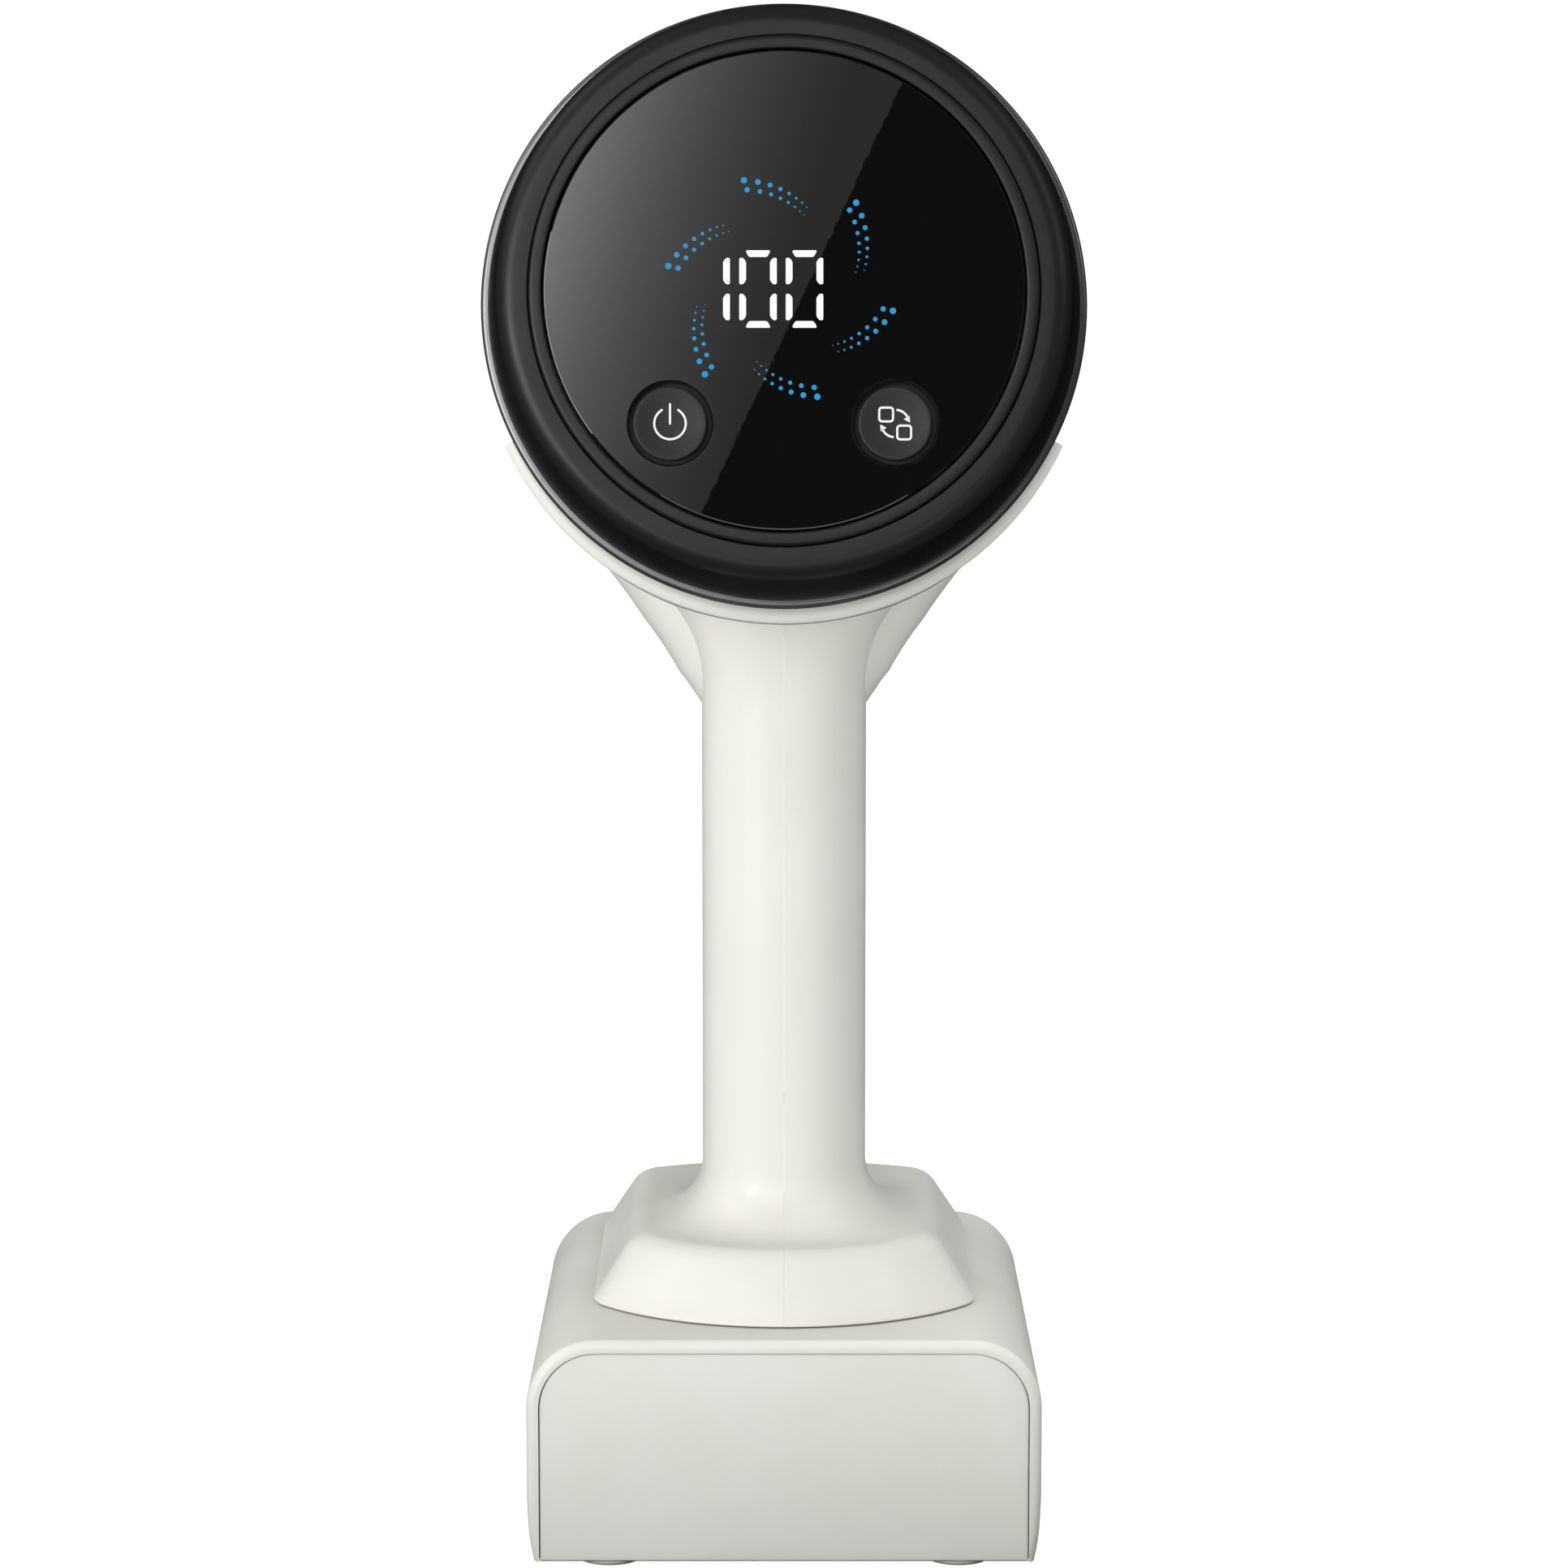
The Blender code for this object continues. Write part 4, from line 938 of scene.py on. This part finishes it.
class MakeInlet(bpy.types.Operator):
    """Inlet spigot, its catch with a push button, and the flap inside"""

    bl_idname = "hand_unit.inlet"
    bl_label = "Inlet"

    def execute(self, context):
        radius = context.scene.hand_unit_head.inlet_radius
        bore, rear, front = radius - 0.0020, 0.1863, 0.2180
        spigot = [
            (bore, 0.1752, 0.0003), (radius, 0.1752, 0.0003), (radius, rear), (0.0220, rear, 0.0003),
            (0.0220, rear + 0.0022, 0.0005), (radius + 0.0012, rear + 0.0022, 0.0004),
            (radius + 0.0012, 0.2080, 0.0001), (radius + 0.0006, 0.2083, 0.0001),
            (radius + 0.0006, 0.2107, 0.0001), (radius + 0.0012, 0.2110, 0.0001),
            (radius + 0.0012, front - 0.0010, 0.0003), (radius + 0.0002, front, 0.0002),
            (bore, front, 0.0004),
        ]
        finished(turned(spigot, 96), "spigot_tube", "cup", "graphite_plastic", ["inlet_spigot"])

        bottom = radius + 0.0012 + GAP
        catch_rear, catch_front, frame_top = rear + 0.0025, 0.2060, bottom + 0.0080
        housing = block((-0.0090, catch_rear, 0.0150), (0.0090, catch_front, frame_top), 0.0010)
        seat = turned([(0, 0.180), (bottom, 0.180), (bottom, 0.215), (0, 0.215)], 96, closed=False)
        window = block(
            (-0.0065, catch_rear + 0.0022, bottom - 0.0010),
            (0.0065, catch_front - 0.0022, frame_top + 0.0020),
        )
        housing = combined(housing, [seat, window])
        finished(housing, "catch_frame", "cup", "graphite_plastic", ["catch_housing"])
        push = block(
            (-0.0061, catch_rear + 0.0026, bottom + 0.0030),
            (0.0061, catch_front - 0.0026, frame_top + 0.0009), 0.0007,
        )
        middle = (catch_rear + catch_front) / 2
        push = together(push, ridges(5, 0.0018, 0.0042, (0, middle, frame_top + 0.0009)))
        finished(push, "catch_push", "wand_release", "cream_plastic", ["wand_release_button"])

        hinge_y, hinge_z = 0.1742, radius + 0.0020
        plate = turned(
            [(0, 0.1736), (0.0168, 0.1736, 0.0003), (0.0168, 0.1748, 0.0003), (0, 0.1748)], 72, closed=False
        )
        lug = block((-0.0050, 0.1736, 0.0140), (0.0050, 0.1748, hinge_z))
        knuckle = bar(0.0016, (-0.0050, hinge_y, hinge_z), (0.0050, hinge_y, hinge_z), 32)
        flap = combined(combined(plate, [lug, knuckle], "UNION"), [
            bar(0.0008, (-0.0080, hinge_y, hinge_z), (0.0080, hinge_y, hinge_z), 24)
        ])
        finished(flap, "flap_plate", "flap", "rubber_black", ["inlet_flap"])
        return {"FINISHED"}


# Handle


def ring_of(bm, half_width, rear, front, height, power=2.4, points=80):
    """A level ring, rounder than a box and fuller than an ellipse. Returns its edges."""
    made = bmesh.ops.create_circle(bm, cap_ends=False, segments=points, radius=1.0)
    middle, half_length = (rear + front) / 2, (front - rear) / 2
    for vert in made["verts"]:
        x = math.copysign(abs(vert.co.x) ** (2 / power), vert.co.x)
        y = math.copysign(abs(vert.co.y) ** (2 / power), vert.co.y)
        vert.co = (half_width * x, middle + half_length * y, height)
    return list(dict.fromkeys(edge for vert in made["verts"] for edge in vert.link_edges))


def skinned(bm, rings):
    for lower, upper in zip(rings, rings[1:]):
        bmesh.ops.bridge_loops(bm, edges=lower + upper)
    for ring in (rings[0], rings[-1]):
        bmesh.ops.contextual_create(bm, geom=ring)
    bmesh.ops.recalc_face_normals(bm, faces=bm.faces)
    return bm


def flare(share, reach):
    """Quarter-round flare: nothing at 0, the whole reach at 1."""
    return reach * (1 - math.sqrt(max(0.0, 1 - share * share)))


def grip(handle):
    """The grip from inside the plinth up to the cradle, flaring at both ends."""
    foot_top, neck, crown = 0.0670, 0.1560, 0.1835
    width, rear, front = handle.half_width, handle.rear, handle.front
    bm = bmesh.new()
    rings = [ring_of(bm, width + 0.0100, rear - 0.0110, front + 0.0100, 0.0500)]
    steps = 12
    for i in range(steps + 1):
        share = 1 - i / steps
        spread = flare(share, 0.0100)
        height = foot_top - (foot_top - handle.plinth_top) * share
        rings.append(ring_of(bm, width + spread, rear - spread * 1.1, front + spread, height))
    for i in range(1, 4):
        rings.append(ring_of(bm, width, rear, front, foot_top + (neck - foot_top) * i / 4))
    for i in range(steps + 3):
        share = i / (steps + 2)
        spread, back = flare(share * 0.985, 0.0190), flare(share * 0.97, 0.0180)
        rings.append(ring_of(bm, width + spread, rear - back, front, neck + (crown - neck) * share))
    return skinned(bm, rings)


def between(stations, height):
    """Smooth values between stations of (height, value, value, ...)."""
    last = len(stations) - 1
    i = max(k for k in range(last) if stations[k][0] <= height)
    share = (height - stations[i][0]) / (stations[i + 1][0] - stations[i][0])
    values = []
    for column in range(1, len(stations[0])):
        a, b = stations[i][column], stations[i + 1][column]
        before = stations[i - 1][column] if i else 2 * a - b
        after = stations[i + 2][column] if i + 2 <= last else 2 * b - a
        t = share
        curve = 0.5 * (
            2 * a
            + (b - before) * t
            + (2 * before - 5 * a + 4 * b - after) * t * t
            + (3 * a - before - 3 * b + after) * t**3
        )
        values.append(curve)
    return values


def keel():
    """The wedge between grip and barrel: its flanks run straight up to touch the barrel's round."""
    stations = (
        (0.1500, 0.0115, 0.0500, 0.0740), (0.1560, 0.0162, 0.0440, 0.0790), (0.1620, 0.0206, 0.0420, 0.0850),
        (0.1720, 0.0274, 0.0400, 0.0930), (0.1845, 0.0368, 0.0380, 0.1000), (0.2000, 0.0472, 0.0360, 0.1040),
    )
    bm = bmesh.new()
    rings = []
    steps = 25
    for i in range(steps + 1):
        height = 0.1500 + 0.0500 * i / steps
        width, rear, front = between(stations, min(height, 0.19999))
        rings.append(ring_of(bm, width, rear, front, height, 2.6))
    return skinned(bm, rings)


def plinth_ring(bm, handle, shrink, height):
    """Plan of the plinth: straight sides, a deep rear bow, a shallower front bow and round corners."""
    half = handle.plinth_half_width - shrink
    outline = bmesh.new()
    ends = ((0.0092 + shrink, 0.0300 + shrink * 0.4, 1), (0.1120 - shrink, 0.1010 - shrink * 0.6, -1))
    for middle, corner, way in ends:
        sag = abs(corner - middle)
        radius = (half * half + sag * sag) / (2 * sag)
        centre = (0, middle + way * radius, 0)
        start = outline.verts.new((-half * way, corner, 0))
        bmesh.ops.spin(
            outline, geom=[start], cent=centre, axis=(0, 0, 1), dvec=(0, 0, 0),
            angle=2 * math.asin(half / radius), steps=28, use_merge=False, use_duplicate=False,
        )
    tips = [v for v in outline.verts if len(v.link_edges) == 1]
    for side in (-1, 1):
        outline.edges.new([v for v in tips if v.co.x * side > 0])
    rounded(outline, tips, [0.0075] * 4, 10)
    bmesh.ops.remove_doubles(outline, verts=outline.verts[:], dist=0.00010)
    data = bpy.data.meshes.new("outline")
    outline.to_mesh(data)
    outline.free()
    known = set(bm.edges)
    fresh = set(bm.verts)
    bm.from_mesh(data)
    bpy.data.meshes.remove(data)
    for vert in bm.verts:
        if vert not in fresh:
            vert.co.z = height
    return [edge for edge in bm.edges if edge not in known]


def plinth(handle, shrink, bottom, top, ease=0.0):
    bm = bmesh.new()
    levels = ((shrink, bottom), (shrink + handle.plinth_slope, top))
    rings = [plinth_ring(bm, handle, inset, height) for inset, height in levels]
    skinned(bm, rings)
    if ease:
        crest = [e for e in bm.edges if min(v.co.z for v in e.verts) > top - 1e-6]
        foot = [e for e in bm.edges if max(v.co.z for v in e.verts) < bottom + 1e-6]
        for edges, offset in ((crest, ease), (foot, ease * 0.25)):
            bevelled(bm, edges, offset, 5)
        bmesh.ops.remove_doubles(bm, verts=bm.verts[:], dist=0.00003)
        bmesh.ops.recalc_face_normals(bm, faces=bm.faces)
    return bm


class MakeHandle(bpy.types.Operator):
    """Handle in two halves: grip, keel under the barrel and the plinth over the battery"""

    bl_idname = "hand_unit.handle"
    bl_label = "Handle"

    def execute(self, context):
        handle = context.scene.hand_unit_handle
        base = plinth(handle, 0.0, handle.plinth_bottom, handle.plinth_top, ease=0.0030)
        whole = combined(grip(handle), [keel(), base], "UNION")
        seat = turned(
            [
                (0, -0.0100), (0.05675, -0.0100), (0.05675, 0.0209), (0.05605, 0.0239), (0.05460, 0.0895),
                (0.05460, 0.1300), (0, 0.1300),
            ],
            closed=False,
        )
        bmesh.ops.transform(seat, matrix=UNIT.inverted() @ HEAD, verts=seat.verts)
        cavity = plinth(handle, handle.wall, handle.plinth_bottom - 0.0020, handle.plinth_top - handle.wall)
        ways = [block((-0.0060, 0.0950, 0.0400), (0.0060, 0.1200, 0.0494))]
        for side in (-1, 1):
            near, far = sorted((side * 0.0144, side * 0.0222))
            ways.append(block((near, 0.0950, 0.0400), (far, 0.1200, 0.0494)))
        for height in (0.0780, 0.1420):
            ways.append(bar(0.0028, (0.0101, 0.0560, height), (0.0300, 0.0560, height), 40))
        whole = combined(whole, [seat, cavity, *ways])
        for side, name in ((-1, "left"), (1, "right")):
            half = whole.copy()
            bmesh.ops.bisect_plane(
                half, geom=half.verts[:] + half.edges[:] + half.faces[:], plane_co=(side * 0.00001, 0, 0),
                plane_no=(-side, 0, 0), clear_outer=True, clear_inner=False,
            )
            bmesh.ops.holes_fill(half, edges=[e for e in half.edges if e.is_boundary])
            finished(half, f"{name}_half", "main", "cream_plastic", [f"handle_{name}_shell"], UNIT, 24)
        whole.free()
        return {"FINISHED"}


class MakeScrews(bpy.types.Operator):
    """Handle screws with a six-sided recess"""

    bl_idname = "hand_unit.screws"
    bl_label = "Handle screws"

    def execute(self, context):
        for level, height in (("lower", 0.0780), ("upper", 0.1420)):
            profile = [
                (0, -0.0085), (0.0011, -0.0085, 0.0003), (0.0011, 0.0104), (0.0024, 0.0104, 0.0002),
                (0.0024, 0.0124, 0.0007), (0, 0.0124),
            ]
            screw = turned(profile, 40, closed=False)
            recess = bar(0.0013, (0, 0.0112, 0), (0, 0.0130, 0), 6)
            screw = turned_over(combined(screw, [recess]), -math.pi / 2, "Z")
            name = f"handle_screw_{level}"
            finished(moved(screw, (0, 0.0560, height)), f"screw_{level}", "main", "steel", [name], UNIT)
        return {"FINISHED"}


# Battery pack


def pack_points(pack, inset, tuck, bottom=None):
    """Corners of the pack's section, and their rounds, from the left foot over to the right."""
    half, top = pack.half_width - inset, pack.top - inset
    low = pack.bottom if bottom is None else bottom
    points = [
        (half - tuck, low), (half - tuck * 0.4, low + 0.0037), (half, low + 0.0102), (half, top),
        (-half, top), (-half, low + 0.0102), (-(half - tuck * 0.4), low + 0.0037), (-(half - tuck), low),
    ]
    corner = pack.corner - inset
    return points, [0, 0.002, 0.004, corner, corner, 0.004, 0.002, 0]


class MakeSleeve(bpy.types.Operator):
    """Sleeve of the battery pack: both sides and the top in one, with its rails"""

    bl_idname = "hand_unit.sleeve"
    bl_label = "Battery sleeve"

    def execute(self, context):
        pack = context.scene.hand_unit_pack
        outer_points, outer_rounds = pack_points(pack, 0.0, pack.tuck)
        outer = slab(outer_points, outer_rounds, pack.length, 16)
        rims = [
            e
            for e in outer.edges
            if abs(e.verts[0].co.y - e.verts[1].co.y) < 1e-7
            and max(v.co.z for v in e.verts) > pack.bottom + 1e-5
        ]
        bevelled(outer, rims, pack.end_round, 7)
        inner_points, inner_rounds = pack_points(pack, pack.wall, 0.0, pack.bottom - 0.0100)
        inner = moved(slab(inner_points, inner_rounds, pack.length + 0.0200, 16), (0, -0.0100, 0))
        windows = []
        for side in (-1, 1):
            near, far = sorted((side * 0.0078, side * 0.0126))
            windows.append(block((near, 0.1022, 0.0350), (far, 0.1068, 0.0450)))
        sleeve = combined(outer, [inner, *windows])
        rails = []
        for side in (-1, 1):
            section = [
                (side * 0.0150, pack.top - 0.0010), (side * 0.0180, pack.top - 0.0010),
                (side * 0.0180, 0.0460), (side * 0.0217, 0.0460), (side * 0.0217, 0.0490),
                (side * 0.0150, 0.0490),
            ]
            rails.append(moved(slab(section, [0, 0, 0, 0.0004, 0.0004, 0.0004], 0.0560, 3), (0, 0.0360, 0)))
        sleeve = combined(sleeve, rails, "UNION")
        finished(sleeve, "pack_cover", "battery_pack", "cream_plastic", ["battery_sleeve"], UNIT, 24)
        return {"FINISHED"}


def end_panel(pack, rear, thickness=0.0022, ease=0.0005):
    points, rounds = pack_points(pack, pack.wall + 0.00014, 0.0, pack.bottom)
    return moved(slab(points, rounds, thickness, 16, ease=ease), (0, rear, 0))


class MakePanels(bpy.types.Operator):
    """End panels and base of the battery pack"""

    bl_idname = "hand_unit.panels"
    bl_label = "Battery panels"

    def execute(self, context):
        pack = context.scene.hand_unit_pack
        rear = end_panel(pack, GAP)
        finished(rear, "rear_plate", "battery_pack", "cream_plastic", ["battery_rear_panel"], UNIT, 20)
        front = end_panel(pack, pack.length - GAP - 0.0022)
        hole = oblong(0.0108, 0.0308, 0.0182)
        hole = moved(slab(hole, [0.0016] * 4, 0.0200, 6), (0, 0.1000, 0))
        front = combined(front, [hole])
        finished(front, "front_plate", "battery_pack", "cream_plastic", ["battery_front_panel"], UNIT, 20)
        half = pack.half_width - pack.wall - GAP
        base = block((-half, 0.0028, pack.bottom), (half, pack.length - 0.0028, 0.0030), 0.0003)
        finished(base, "base_plate", "battery_pack", "cream_plastic", ["battery_base"], UNIT)
        return {"FINISHED"}


class MakePackRelease(bpy.types.Operator):
    """Ridged push button that frees the battery pack"""

    bl_idname = "hand_unit.pack_release"
    bl_label = "Pack release"

    def execute(self, context):
        push = block((-0.0104, 0.1072, 0.0186), (0.0104, 0.1138, 0.0304), 0.0009)
        rows = turned_over(ridges(5, 0.0018, 0.0075, (0, 0, 0)), math.pi / 2, "X")
        push = together(push, moved(rows, (0, 0.1138, 0.0245)))
        finished(push, "pack_push", "pack_release", "graphite_plastic", ["battery_release_button"], UNIT)
        return {"FINISHED"}


class MakeFeet(bpy.types.Operator):
    """Domed pads under the pack's corners"""

    bl_idname = "hand_unit.feet"
    bl_label = "Feet"

    def execute(self, context):
        top = context.scene.hand_unit_pack.bottom
        for row in ("rear", "front"):
            for side in ("left", "right"):
                foot = f"foot_{row}_{side}"
                low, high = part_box(foot)
                x, y = (low.x + high.x) / 2, (low.y + high.y) / 2
                radius = (high.x - low.x) / 2
                dome = [
                    (0, 0), (radius - 0.0003, 0, 0.0002), (radius, top * 0.6, 0.0001), (radius, top), (0, top)
                ]
                pad = turned_over(turned(dome, 64, closed=False, segments=4), math.pi / 2, "X")
                moved(pad, (x, y, 0))
                finished(pad, f"pad_{row}_{side}", "battery_pack", "foot_rubber", [foot], Matrix())
        return {"FINISHED"}


class DressInside(bpy.types.Operator):
    """Finishes for the pieces that keep their frame shapes"""

    bl_idname = "hand_unit.inside"
    bl_label = "Inner pieces"

    def execute(self, context):
        plain = {slot.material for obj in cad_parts.values() for slot in obj.material_slots}
        names = {made: made.name for made in plain}
        for made in plain:
            made.name = f"plain_{made.name}"
        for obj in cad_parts.values():
            for slot in obj.material_slots:
                slot.material = finish(names[slot.material])
        return {"FINISHED"}


# Stage

AIM = (0, -0.05, 0.16)
LIGHTS = (  # name, place, width, height and power in watts
    ("left_softbox", (-0.78, -1.05, 0.34), 0.55, 0.75, 7.7),
    ("left_high_strip", (-0.90, -0.15, 1.0), 0.30, 0.80, 1.5),
    ("right_strip", (0.95, -0.45, 0.85), 0.20, 0.80, 1.2),
    ("top_softbox", (0.15, 0.25, 1.3), 0.9, 0.6, 8.4),
    ("low_card", (0, -0.62, 0.04), 0.60, 0.10, 0.36),
)


def area(name, place, width, height, power):
    data = bpy.data.lights.new(name, "AREA")
    data.shape, data.size, data.size_y, data.energy = "RECTANGLE", width, height, power
    obj = bpy.data.objects.new(name, data)
    bpy.context.scene.collection.objects.link(obj)
    obj.location = place
    obj.rotation_euler = (Vector(AIM) - Vector(place)).to_track_quat("-Z", "Y").to_euler()
    obj.visible_camera = False
    return obj


def flat_card(name, centre, right, up, width, height):
    """A rectangle with its own axes along right and up, and its material's tree with no surface yet."""
    bm = bmesh.new()
    bmesh.ops.create_grid(bm, x_segments=1, y_segments=1, size=0.5)
    bmesh.ops.scale(bm, vec=(width, height, 1), verts=bm.verts)
    mesh = bpy.data.meshes.new(name)
    bm.to_mesh(mesh)
    bm.free()
    obj = bpy.data.objects.new(name, mesh)
    bpy.context.scene.collection.objects.link(obj)
    turn = Matrix((right, up, right.cross(up))).transposed().to_4x4()
    obj.matrix_world = Matrix.Translation(centre) @ turn
    paint = bpy.data.materials.new(f"{name}_paint")
    paint.use_nodes = True
    tree = paint.node_tree
    tree.nodes.remove(tree.nodes["Principled BSDF"])
    mesh.materials.append(paint)
    return obj, tree, tree.nodes["Material Output"].inputs["Surface"]


def mirror_card():
    """Graded card behind the camera whose straight edge the display glass mirrors."""
    away, width, height, edge, lean = 1.5, 0.42, 0.46, 0.0092, math.radians(25)
    fade, steepness, dimmest, skew = 0.13, 2.51, 0.44, 0.116
    glass = HEAD @ Vector((0, bpy.context.scene.hand_unit_head.glass_rear, 0))
    eye = bpy.context.scene.camera.location
    facing = HEAD.to_3x3() @ Vector((0, -1, 0))
    back = eye - 2 * (eye - glass).dot(facing) * facing
    ray = (glass - back).normalized()
    side = Vector((1, 0, 0))
    up = side.cross(ray).normalized()
    up = up if up.z > 0 else -up
    across = side * math.cos(lean) - up * math.sin(lean)
    along = side * math.sin(lean) + up * math.cos(lean)
    centre = glass + ray * away + across * (edge - width / 2)
    card, tree, surface = flat_card("mirror_card", centre, across, along, width, height)
    where = node(tree, "TexCoord").outputs["Object"]
    split = node(tree, "SeparateXYZ", {"Vector": where}).outputs
    place = maths(tree, "ADD", split["X"], maths(tree, "MULTIPLY", split["Y"], skew))
    near = mapped(tree, place, width / 2 - edge - fade, width / 2 - edge, steepness, 0.0)
    power = maths(tree, "MULTIPLY", maths(tree, "POWER", math.e, near), dimmest)
    tree.links.new(node(tree, "Emission", {"Strength": power}).outputs[0], surface)
    card.visible_camera = card.visible_diffuse = card.visible_shadow = card.visible_transmission = False


def pale_floor():
    """Floor that looks evenly pale, and bounces less light up close to the object."""
    dark_within, pale_beyond, dark, pale = 0.12, 0.30, 0.02, 0.80
    floor, tree, surface = flat_card("floor", (0, 0, 0), Vector((1, 0, 0)), Vector((0, 1, 0)), 24.0, 24.0)
    away = node(
        tree, "VectorMath", {0: node(tree, "TexCoord").outputs["Object"]}, operation="LENGTH"
    ).outputs["Value"]
    tone = mapped(tree, away, dark_within, pale_beyond, dark, pale)
    cloth = node(tree, "CombineColor", {i: tone for i in range(3)}).outputs["Color"]
    bounce = node(tree, "BsdfDiffuse", {"Color": cloth})
    shade = node(tree, "BsdfDiffuse", {"Color": (0.26, 0.26, 0.26, 1)})
    glow = node(tree, "Emission", {"Color": (1, 1, 1, 1), "Strength": 0.93})
    seen = node(tree, "AddShader", {0: shade.outputs[0], 1: glow.outputs[0]})
    camera_ray = node(tree, "LightPath").outputs["Is Camera Ray"]
    mix = node(tree, "MixShader", {0: camera_ray, 1: bounce.outputs[0], 2: seen.outputs[0]})
    tree.links.new(mix.outputs[0], surface)
    floor.visible_glossy = False


def pale_world():
    """Even light from all round, which no reflection shows."""
    light, backdrop = 0.725, 1.1
    world = bpy.data.worlds.new("studio")
    bpy.context.scene.world = world
    world.use_nodes = True
    tree = world.node_tree
    back = tree.nodes["Background"].inputs
    camera_ray = node(tree, "LightPath").outputs["Is Camera Ray"]
    tree.links.new(mapped(tree, camera_ray, 0.0, 1.0, light, backdrop), back["Strength"])
    back["Color"].default_value = (1, 1, 1, 1)
    world.cycles_visibility.glossy = False


class MakeStage(bpy.types.Operator):
    """Pale floor, soft lights, cards and the camera"""

    bl_idname = "hand_unit.stage"
    bl_label = "Stage"

    def execute(self, context):
        scene = context.scene
        away, height, lean = 0.920, 0.2710, 7.64
        eye = bpy.data.cameras.new("camera")
        eye.lens, eye.sensor_width = 116.4, 36.0
        camera = bpy.data.objects.new("camera", eye)
        scene.collection.objects.link(camera)
        camera.location = (0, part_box("battery_sleeve")[0].y - away, height)
        camera.rotation_euler = (math.radians(90 - lean), 0, 0)
        scene.camera = camera
        scene.view_settings.view_transform = "Standard"
        pale_floor()
        pale_world()
        lights = {light[0]: area(*light) for light in LIGHTS}
        lights["top_softbox"].visible_glossy = False
        lights["low_card"].visible_diffuse = False
        for piece in ("cradle_trough", "left_half", "right_half"):
            bpy.data.objects[piece].visible_glossy = False
        mirror_card()
        return {"FINISHED"}


# Panel and registration


STEPS = (
    DressInside, MakeRearCap, MakeTrimRing, MakeGrille, MakeBezel, MakeGlass, MakeDigits, MakeSwirl,
    MakeButtons, MakeBarrel, MakeCradle, MakeCupRelease, MakeCyclone, MakeDustCup, MakeInlet, MakeHandle,
    MakeScrews, MakeSleeve, MakePanels, MakePackRelease, MakeFeet, MakeStage,
)
GROUP_CLASSES = {
    "hand_unit_head": HeadSizes, "hand_unit_display": DisplaySizes, "hand_unit_handle": HandleSizes,
    "hand_unit_pack": PackSizes, "hand_unit_colours": Colours,
}


class HandUnitPanel(bpy.types.Panel):
    """Lists the sizes and colours, and a button for each piece"""

    bl_idname = "VIEW3D_PT_hand_unit"
    bl_label = "Hand unit"
    bl_space_type = "VIEW_3D"
    bl_region_type = "UI"
    bl_category = "Hand unit"

    def draw(self, context):
        for name in GROUP_CLASSES:
            group = getattr(context.scene, name)
            box = self.layout.box()
            for prop in group.__annotations__:
                box.prop(group, prop)
        column = self.layout.column(align=True)
        for step in STEPS:
            column.operator(step.bl_idname)


def register():
    for cls in (*GROUP_CLASSES.values(), *STEPS, HandUnitPanel):
        bpy.utils.register_class(cls)
    for name, cls in GROUP_CLASSES.items():
        setattr(bpy.types.Scene, name, PointerProperty(type=cls))


def unregister():
    for name in GROUP_CLASSES:
        delattr(bpy.types.Scene, name)
    for cls in reversed((*GROUP_CLASSES.values(), *STEPS, HandUnitPanel)):
        bpy.utils.unregister_class(cls)


def main():
    register()
    for step in STEPS:
        group, name = step.bl_idname.split(".")
        getattr(getattr(bpy.ops, group), name)()


if __name__ == "__main__":
    main()
